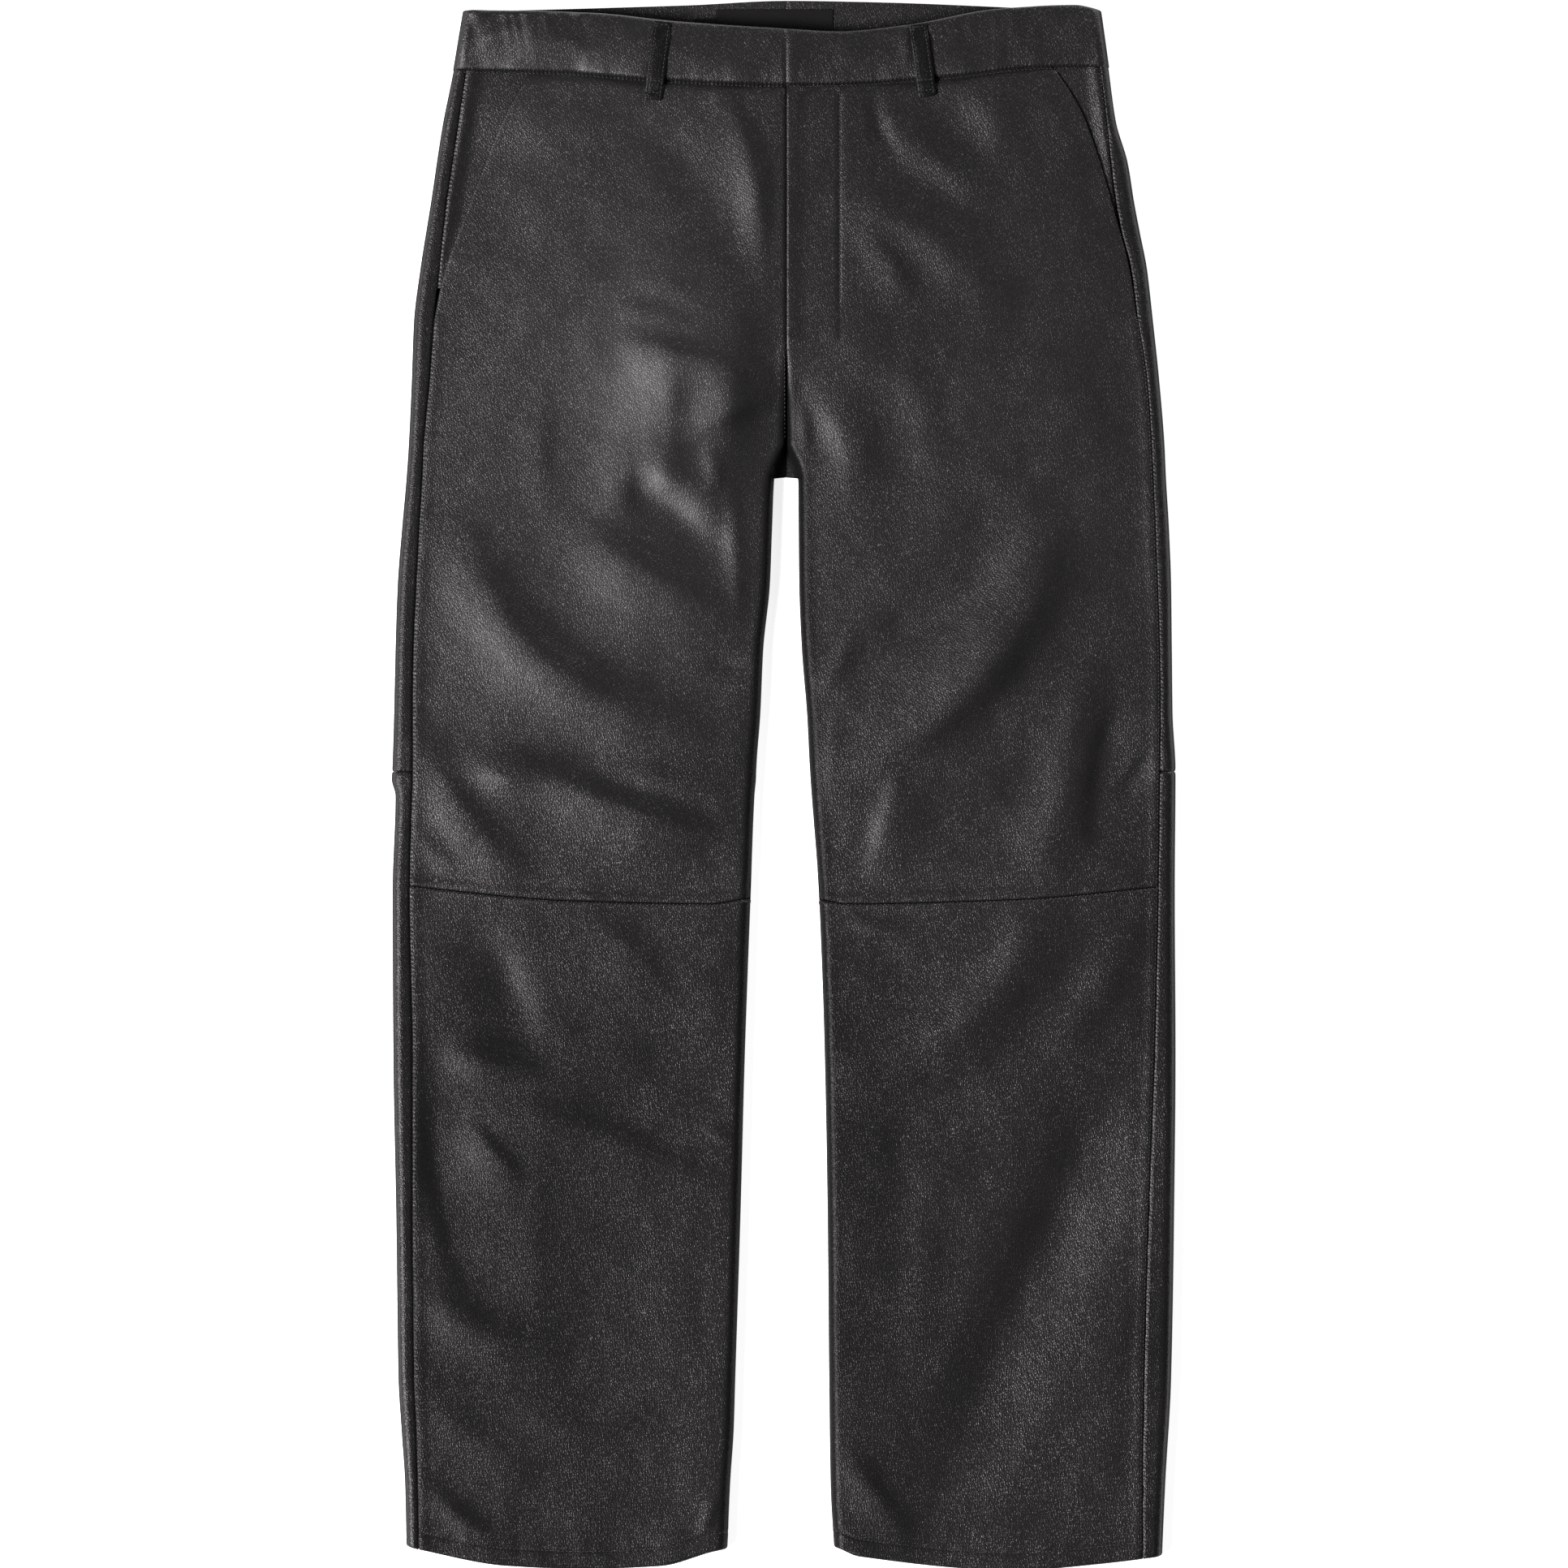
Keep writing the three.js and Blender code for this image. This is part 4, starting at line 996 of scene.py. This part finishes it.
ROLL_TURNS = np.array((0, 0.22, 0.45, 0.7, 0.88, 1.0))
STRIP_SHARES = np.array((0, 0.06, 0.13, 0.22, 0.34, 0.5, 0.66, 0.8, 0.91))
UNDERSIDE_COLUMNS = 22


def rolled_points(edge, outward, y, turns):
    """Points on the round below a fold, from its outermost line to where it meets the underside."""
    angle = turns * math.pi / 2

    def place_x(at):
        return edge(at) - outward * ROLL * (1 - np.cos(angle))

    x, at = settle(place_x, y + 0 * turns)
    x_under, at_under = settle(place_x, y + 0 * turns, under=True)
    x, at = np.where(turns == 1, x_under, x), np.where(turns == 1, at_under, at)
    return grid(x, at, lift_at(at) + ROLL * (1 - np.sin(angle)))


def back_panel(half, node, top, bottom):
    """The back of one leg: the strip beside the outseam, the outer fold and the underside."""
    y = grid_rows(top, bottom)[:, None]
    is_leg = y <= LEG_TOP_Y

    def strip_x(at):
        return lerp(half.seam(at), half.outer(at), STRIP_SHARES)

    x, at = settle(strip_x, y + 0 * STRIP_SHARES)
    from_seam = np.abs(x - half.seam(at))
    strip = grid(x, at, top_height(half, x, at))
    width = np.abs(half.outer(at) - half.seam(at))
    lean = -half.strip_lean * (1 - from_seam / (0.8 * width)).clip(0, 1)
    strip[..., 2] += lean + rolled_down(from_seam, *ROLLS["strip"]) + pucker(at, from_seam, *PUFFS["strip"])
    fold = rolled_points(half.outer, half.sign, y, ROLL_TURNS)
    shares = np.linspace(0, 1, UNDERSIDE_COLUMNS + 1)[1:]

    def under_x(at):
        outer = half.outer(at) - half.sign * ROLL
        inner = np.where(is_leg, half.inner(at), CENTRE_X) + half.sign * ROLL
        return lerp(outer, inner, shares)

    x, at = settle(under_x, y + 0 * shares, under=True)
    hollow = crease_height(BOTTOM_CREASES, x, at) * ease(1 - np.abs(2 * shares - 1) ** 4)
    under = grid(x, at, lift_at(at) + hollow)
    leg_turn = np.array((0.7, 0.45, 0.22, 0))
    leg_end = rolled_points(half.inner, -half.sign, y, leg_turn)

    def flat_end_x(at):
        return CENTRE_X + half.sign * leg_turn * ROLL + 0 * at

    flat_x, flat_at = settle(flat_end_x, y + 0 * leg_turn, under=True)
    flat_end = grid(flat_x, flat_at, lift_at(flat_at))
    end = np.where(is_leg[..., None], leg_end, flat_end)
    points = np.concatenate((strip, fold, under, end), axis=1)
    core = grid((half.outer(y) + half.inner_edge(y)) / 2, points[..., 1], 8)
    from_top, from_bottom = top - y, y - bottom
    seam_here = from_top if top == BACK_SEAM_Y else from_bottom if bottom == BACK_SEAM_Y else FAR + 0 * y
    on_floor = ease(points[..., 2] / 2)
    relief = on_floor * rolled_down(seam_here, *ROLLS["back_seam"])
    normals = normals_of(points, core)
    points += normals * relief[..., None]
    if bottom == HEM_Y:
        points = turned_hem(points, normals)
    long_seam = np.full((len(y), points.shape[1]), FAR)
    long_seam[:, : len(STRIP_SHARES)] = from_seam
    # Painted shade over the fold and the underside, and on the strip beside the outseam, growing towards the
    # fold.
    shaded = np.full((len(y), points.shape[1]), 0.6)
    shaded[:, : len(STRIP_SHARES)] = 0.25 + 0.35 * ease(1 - (width - from_seam) / 4)
    kept = {"long_seam": long_seam, "cross_seam": seam_here, "shaded": shaded}
    piece = sheet_mesh(f"{node}_leather", points, LEATHER, (hide, flesh), kept, core=core)
    declare_cloth(piece, node)
    return piece


def pocket_facing(half, node):
    """The piece behind the slanted pocket edge. It starts at the outseam and runs on under the front."""
    underlap, drop_width, drop = 10, 12, half.pocket_drop
    low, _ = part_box(node)
    y = grid_rows(WAIST_Y, low.y / MM)[:, None]
    shares = np.linspace(0, 1, 15)

    def place_x(at):
        return lerp(half.seam(at), half.slant(at) - half.sign * underlap, shares)

    x, at = settle(place_x, y + 0 * shares)
    points = grid(x, at, top_height(half, x, at))
    width = np.abs(half.seam(at) - half.slant(at))
    from_seam = np.abs(half.seam(at) - x)
    inside = from_seam + np.maximum(drop_width - width, 0)
    relief = -drop * ease(inside / drop_width)
    relief += rolled_down(from_seam, *ROLLS["facing"]) + pucker(at, from_seam, *PUFFS["facing"])
    points += normals_of(points, FAR_BELOW) * relief[..., None]
    kept = {"long_seam": from_seam, "cross_seam": FAR + 0 * x}
    piece = sheet_mesh(f"{node}_leather", points, FACING_LEATHER, (facing_hide, flesh), kept)
    declare_cloth(piece, node)
    return piece


BAND_FRONT_COLUMNS = 124
BAND_BACK_COLUMNS = 46


# Fine gathers across the band: their size, height, and how fast they fade below its top.
GATHERS = table("size height reach", (3.4, 0.7, 11), (7, 1, 17))
GATHERS_TOP = 42


def band_relief(x, y, row_share):
    """How the front of the band swells, rolls in at its edges and gathers near the right side."""
    up = row_share * BAND_DEPTH
    from_centre = np.abs(x - CENTRE_X)
    gathered = 0.25 + 0.75 * ease((-125 - x) / 40)
    crest = lerp(0.42, 0.8, (gathered - 0.25) / 0.75)
    from_crest = np.abs(row_share - crest) / np.maximum(crest, 1 - crest)
    swell = lerp(2.6, 1.3, ease((x + 60) / 120)) * (1 - from_crest**2)
    ripples = pucker(x, up, *PUFFS["band"])
    for gather in GATHERS:
        folds = soft_noise(x + 0.2 * y, 0.12 * y, gather["size"], 73)
        fade = np.exp((up - GATHERS_TOP) / gather["reach"])
        ripples = ripples + gathered * gather["height"] * folds * fade
    broad = 1.1 * soft_noise(x, y, 34, 79) + 0.4 * soft_noise(x, y, 15, 80)
    edge = rolled_down(up, *ROLLS["band_foot"]) + rolled_down(BAND_DEPTH - up, *ROLLS["band_top"])
    uneven = (ripples + broad) * ease(from_centre / 12)
    return swell + edge + uneven + rolled_down(from_centre, *ROLLS["band_centre"])


def waistband(half, node):
    """Half of the folded waistband, from the centre front round the side to the centre back."""
    front_shares = np.linspace(0, 1, BAND_FRONT_COLUMNS)
    back_shares = np.linspace(0, 1, BAND_BACK_COLUMNS)[1:]
    row_share = (places(BAND_DEPTH) / BAND_DEPTH)[:, None]
    nominal = lerp(WAIST_Y, BAND_TOP_Y, row_share)

    def spots(place_x, bottom_y, top_y):
        y = lerp(bottom_y(place_x(nominal)), top_y(place_x(nominal)), row_share)
        return place_x(y), y

    x, y = spots(lambda at: lerp(CENTRE_X, half.outer(at), front_shares), front_waist_y, front_band_top_y)
    front = grid(x, y, top_height(half, x, y) + band_relief(x, y, row_share))
    turn = ROLL_TURNS[1:]
    angle = turn * math.pi / 2

    def fold_x(at):
        return half.outer(at) - half.sign * ROLL * (1 - np.cos(angle))

    x_front, y_front = spots(fold_x, front_waist_y, front_band_top_y)
    x_back, y_back = spots(fold_x, back_waist_y, back_band_top_y)
    x, y = lerp(x_front, x_back, turn), lerp(y_front, y_back, turn)
    fold = grid(x, y, BACK_LIFT + ROLL * (1 - np.sin(angle)))

    def back_x(at):
        return lerp(half.outer(at) - half.sign * ROLL, CENTRE_X, back_shares)

    x, y = spots(back_x, back_waist_y, back_band_top_y)
    back = grid(x, y, BACK_LIFT)
    points = np.concatenate((front, fold, back), axis=1)
    core = grid(half.sign * 100, points[..., 1], 12)
    points += normals_of(points, core) * BAND_PROUD
    up = row_share * BAND_DEPTH
    polished = polish(points[..., 0], points[..., 1])
    kept = {"cross_seam": up, "long_seam": FAR + 0 * up, "polished": polished}
    piece = sheet_mesh(f"{node}_leather", points, BAND_LEATHER, (band_hide,), kept, rim=0.5, core=core)
    declare_cloth(piece, node)
    return piece


def front_height(x, y):
    """Height of the top layer over a plan point of either half."""
    return np.where(x < CENTRE_X, top_height(RIGHT, x, y), top_height(LEFT, x, y))


def top_of_band(x, y):
    return front_height(x, y) + BAND_PROUD * ease((y - front_waist_y(x) + 4) / 3)


# A front belt loop: its gap to the band down its length, the columns across it, and its stitch lines.
LOOP_SEWN = 0.4
LOOP_GAP = curve_through(
    table(
        "share gap", (0, LOOP_SEWN), (0.08, LOOP_SEWN), (0.24, LOOP_STANDOFF), (0.5, LOOP_STANDOFF + 0.3),
        (0.74, LOOP_STANDOFF), (0.9, LOOP_SEWN), (1, LOOP_SEWN),
    ),
    "share", "gap",
)
LOOP_COLUMNS = np.array((-1, -0.9, -0.8, -0.7, -0.6, -0.5, -0.25, 0, 0.25, 0.5, 0.6, 0.7, 0.8, 0.9, 1))
LOOP_END = 1.02
LOOP_SIDE_STITCH = 0.7
LOOP_END_STITCHES = (0.03, 0.93)
# Painted shade over the face of a front loop, all but its left edge.
LOOP_SHADE = 0.55


def front_loop(name, top, foot):
    """A front belt loop: sewn down at both ends, and held off the band between them."""
    share = np.linspace(0, LOOP_END, 56)[:, None]
    side = LOOP_COLUMNS
    top, foot = np.array(top), np.array(foot)
    down = (foot - top) / np.linalg.norm(foot - top)
    across = np.array((-down[1], down[0]))
    corner = 1 - 0.2 * np.clip((share - 0.96) / 0.06, 0, 1) ** 3
    middle_x, middle_y = lerp(top[0], foot[0], share), lerp(top[1], foot[1], share)
    x = middle_x + side * across[0] * (LOOP_WIDTH + 1) / 2 * corner
    y = middle_y + side * across[1] * (LOOP_WIDTH + 1) / 2 * corner
    sunk = -0.3 * np.exp(-(((np.abs(side) - LOOP_SIDE_STITCH) / 0.08) ** 2))
    sunk = sunk - 0.3 * np.exp(-(((share - LOOP_END_STITCHES[1]) / 0.012) ** 2))
    crown = 0.2 * (1 - side**2) - 0.5 * np.clip((np.abs(side) - 0.8) / 0.2, 0, 1) ** 2
    crown = crown - 0.6 * np.clip((share - 0.985) / 0.035, 0, 1) ** 2
    under = lerp(top_of_band(x, y), top_of_band(middle_x, middle_y), 0.5)
    z = under + LOOP_GAP(np.minimum(share, 1))
    z = z + LOOP_LEATHER + sunk + crown
    points = grid(x, y, z)
    # Painted shade on the loop, fading out at its left edge.
    shaded = LOOP_SHADE * ease((side + 0.95) / 0.2) + 0 * share
    piece = sheet_mesh(f"{name}_leather", points, LOOP_LEATHER, (loop_hide,), {"shaded": shaded}, rim=0.25)
    declare_cloth(piece, name)
    rows = []
    for edge in (-LOOP_SIDE_STITCH, LOOP_SIDE_STITCH):
        i = np.abs(side - edge).argmin()
        rows.append([(spot[0], spot[1]) for spot in points[2:-2, i]])
    for place in LOOP_END_STITCHES:
        row = np.abs(share[:, 0] - place).argmin()
        rows.append([(spot[0], spot[1]) for spot in points[row, 3:-3]])
    return piece, rows


def back_loop(name, x):
    """A back belt loop: a flat strip between the band and the surface that the trousers lie on."""
    low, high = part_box(name)
    y = np.linspace(high.y, low.y, 24)[:, None] / MM
    side = np.linspace(-1, 1, 9)
    points_x = x + side * LOOP_WIDTH / 2 + 0 * y
    z = LOOP_LEATHER - 0.12 * np.exp(-(((np.abs(side) - 0.72) / 0.12) ** 2)) + 0 * y
    points = grid(points_x, y, z)
    piece = sheet_mesh(f"{name}_leather", points, LOOP_LEATHER - 0.02, (loop_hide,), rim=0.4)
    declare_cloth(piece, name)
    return piece


def fly_piece(name, node, columns, depth, thickness, material):
    """A strip under the fronts at the fly, this deep below their outer face."""
    low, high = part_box(node)
    y = np.linspace(high.y, low.y, 70)[:, None] / MM
    x = np.array(columns) + 0 * y
    y = y + 0 * x
    points = grid(x, y, front_height(x, y) - depth)
    piece = sheet_mesh(name, points, thickness, (material,), rim=0.3)
    declare_cloth(piece, node)
    return piece


def label(name, node, thickness):
    """A bare woven label on the inside of the back waistband."""
    low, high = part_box(node)
    x = np.linspace(low.x, high.x, 40) / MM
    y = np.linspace(high.y, low.y, 18)[:, None] / MM
    wave = 0.1 * soft_noise(x + 0 * y, y + 0 * x, 9, 83)
    z = high.z / MM - 0.12 + wave
    points = grid(x, y, z)
    piece = sheet_mesh(name, points, thickness, (label_cloth,), rim=0.2)
    declare_cloth(piece, node)
    return piece


THREAD_TURNS = np.linspace(0, 2 * math.pi, THREAD_SIDES + 1)[:-1]
THREAD_RING = [(math.cos(turn), math.sin(turn)) for turn in THREAD_TURNS]
THREAD_STATIONS = table("share size", (-0.5, 0.35), (-0.3, 1), (0.3, 1), (0.5, 0.35))


def add_stitch(vertices, faces, first, last, up):
    """One stitch between two points of a surface: a short round thread that dives in at both ends."""
    along = (last - first).normalized()
    side = along.cross(up).normalized()
    up = side.cross(along)
    base = len(vertices)
    for station in THREAD_STATIONS:
        centre = first.lerp(last, station["share"] + 0.5)
        centre += up * THREAD_RADIUS * MM * (0.45 - 2.6 * max(abs(station["share"]) - 0.3, 0))
        reach = THREAD_RADIUS * MM * station["size"]
        vertices += [centre + (side * right + up * rise) * reach for right, rise in THREAD_RING]
    for i in range(len(THREAD_STATIONS) - 1):
        low = base + i * THREAD_SIDES
        for j in range(THREAD_SIDES):
            a, b = low + j, low + (j + 1) % THREAD_SIDES
            faces.append((a, b, b + THREAD_SIDES, a + THREAD_SIDES))
    faces.append(tuple(base + j for j in reversed(range(THREAD_SIDES))))
    faces.append(tuple(len(vertices) - THREAD_SIDES + j for j in range(THREAD_SIDES)))


def thread_mesh(name, rows, surface):
    """Stitches along rows of plan points, laid on the surface below them, as one mesh."""
    vertices, faces = [], []
    for row in rows:
        line = np.array(row, float)
        lengths = np.concatenate(([0], np.cumsum(np.linalg.norm(np.diff(line, axis=0), axis=1))))
        count = max(int(round(lengths[-1] / STITCH_PITCH)), 1)
        for number in range(count):
            middle = (number + 0.5) * lengths[-1] / count
            ends = [middle - STITCH_LENGTH / 2, middle + STITCH_LENGTH / 2]
            spots = [(np.interp(at, lengths, line[:, 0]), np.interp(at, lengths, line[:, 1])) for at in ends]
            hits = [surface.ray_cast(Vector((x * MM, y * MM, 1)), Vector((0, 0, -1))) for x, y in spots]
            if any(hit[0] is None for hit in hits):
                continue
            (first, first_up), (last, last_up) = (hit[:2] for hit in hits)
            add_stitch(vertices, faces, first, last, (first_up + last_up).normalized())
    mesh = bpy.data.meshes.new(name)
    mesh.from_pydata(vertices, [], faces)
    mesh.materials.append(thread)
    mesh.shade_smooth()
    piece = bpy.data.objects.new(name, mesh)
    bpy.context.scene.collection.objects.link(piece)
    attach(piece, "root")
    return piece


def surface_of(pieces):
    """The surface of several pieces together, for laying thread on."""
    vertices, faces = [], []
    for piece in pieces:
        base = len(vertices)
        vertices += [vertex.co.copy() for vertex in piece.data.vertices]
        faces += [tuple(base + index for index in face.vertices) for face in piece.data.polygons]
    return BVHTree.FromPolygons(vertices, faces)


def line_down(place_x, top, bottom, step=12):
    y = np.linspace(top, bottom, max(int((top - bottom) / step), 2))
    return list(zip(place_x(y), y))


def line_across(place_y, left, right, step=12):
    x = np.linspace(left, right, max(int(abs(right - left) / step), 2))
    return list(zip(x, place_y(x)))


cloth = []
hem_rows = []
fly_rows = []
for half in HALVES:
    cloth += [
        back_panel(half, f"back_upper_{half.name}", WAIST_Y, BACK_SEAM_Y),
        back_panel(half, f"back_lower_{half.name}", BACK_SEAM_Y, HEM_Y),
        pocket_facing(half, f"pocket_facing_{half.name}"),
        front_panel(half, f"front_upper_{half.name}", WAIST_Y, KNEE_Y),
        front_panel(half, f"front_lower_{half.name}", KNEE_Y, HEM_Y),
        waistband(half, f"waistband_{half.name}"),
    ]

loop_rows = []
for loop in FRONT_LOOPS:
    piece, rows = front_loop(**loop)
    cloth.append(piece)
    loop_rows += rows
for loop in BACK_LOOPS:
    back_loop(**loop)
UNDERLAP_COLUMNS = (-16, -7, CENTRE_X, 10, 18, 26, 33)
UNDERLAP_DEPTH = 4.8
ZIP_COLUMNS = (-12, -6, -1, CENTRE_X, 4, 10, 16)
ZIP_DEPTH = 2
ZIP_THICKNESS = 1
fly_piece("fly_underlap_leather", "fly_underlap", UNDERLAP_COLUMNS, UNDERLAP_DEPTH, LEATHER, hide)
fly_piece("zip_tapes", "zip", ZIP_COLUMNS, ZIP_DEPTH, ZIP_THICKNESS, tape_cloth)
cloth.append(label("waist_label_cloth", "waist_label", 0.5))
cloth.append(label("size_tab_cloth", "size_tab", 0.4))

surface = surface_of(cloth)
for half in HALVES:
    outseam = line_down(lambda y: half.seam(y) - half.sign * 1.3, 300, -519)
    thread_mesh(f"outseam_stitches_{half.name}", [outseam], surface)
    inner, outer = half.inner(KNEE_Y), half.seam(KNEE_Y)
    knee = line_across(lambda x: knee_seam_y(x) - 1.4, inner + half.sign * 2, outer - half.sign * 1)
    thread_mesh(f"knee_stitches_{half.name}", [knee], surface)
    side = half.outer(WAIST_Y) - half.sign * 8
    waist = line_across(lambda x: front_waist_y(x) - 1.6, CENTRE_X + half.sign * 2, side)
    thread_mesh(f"waist_stitches_{half.name}", [waist], surface)
thread_mesh("hem_stitches", hem_rows, surface)
thread_mesh("pocket_bar_tacks", BAR_TACKS, surface)
thread_mesh("fly_stitches", [*fly_rows, FLY_FOOT_STITCHES], surface)
thread_mesh("crotch_stitches", [line_down(lambda y: CENTRE_X - 1.2 + 0 * y, 290, 234)], surface)
thread_mesh("belt_loop_stitches", loop_rows, surface)

FLOOR_SIZE = 8
FLOOR_DROP = 0.0004
bpy.ops.object.select_all(action="DESELECT")
bpy.ops.mesh.primitive_plane_add(size=FLOOR_SIZE, location=(0, 0, -FLOOR_DROP))
floor = bpy.context.object
floor.name = "floor"
bpy.ops.object.transform_apply(location=True, rotation=True, scale=True)
paper = Finish("white_paper")
paper_noise = paper.noise(60, 2)
paper_colour = paper.mixed(paper_noise, (0.86, 0.86, 0.86, 1), (0.88, 0.88, 0.88, 1))
floor.data.materials.append(
    paper.surface(base_color=paper_colour, roughness=0.9, emission_color=(1, 1, 1, 1), emission_strength=0.8)
)


def softbox(name, place, aim, size, power):
    light = bpy.data.lights.new(name, "AREA")
    light.shape = "RECTANGLE"
    light.size, light.size_y = size
    light.energy = power
    lamp = bpy.data.objects.new(name, light)
    lamp.location = place
    lamp.rotation_euler = (Vector(aim) - Vector(place)).to_track_quat("-Z", "Y").to_euler()
    lamp.visible_camera = False
    bpy.context.scene.collection.objects.link(lamp)
    return lamp


softbox("key_softbox", (-3.9, -1.45, 4.1), (0, 0, 0), (3.0, 1.7), 800)
softbox("low_back_softbox", (2.4, 3.4, 1.3), (0, 0, 0), (2.0, 1.0), 110)

world = bpy.data.worlds.new("studio")
bpy.context.scene.world = world
world.use_nodes = True
world.node_tree.nodes["Background"].inputs["Color"].default_value = (1, 1, 1, 1)
world.node_tree.nodes["Background"].inputs["Strength"].default_value = 0.06

# The camera looks straight down and takes in a square this wide.
CAMERA_HEIGHT = 6.0
FRAME_WIDTH = 1.0626
camera_data = bpy.data.cameras.new("camera")
camera_data.sensor_width = 36
camera_data.lens = camera_data.sensor_width * (CAMERA_HEIGHT - 0.008) / FRAME_WIDTH
camera_data.clip_end = 50
camera = bpy.data.objects.new("camera", camera_data)
camera.location = (0, 0, CAMERA_HEIGHT)
bpy.context.scene.collection.objects.link(camera)
bpy.context.scene.camera = camera
bpy.context.scene.view_settings.view_transform = "Standard"
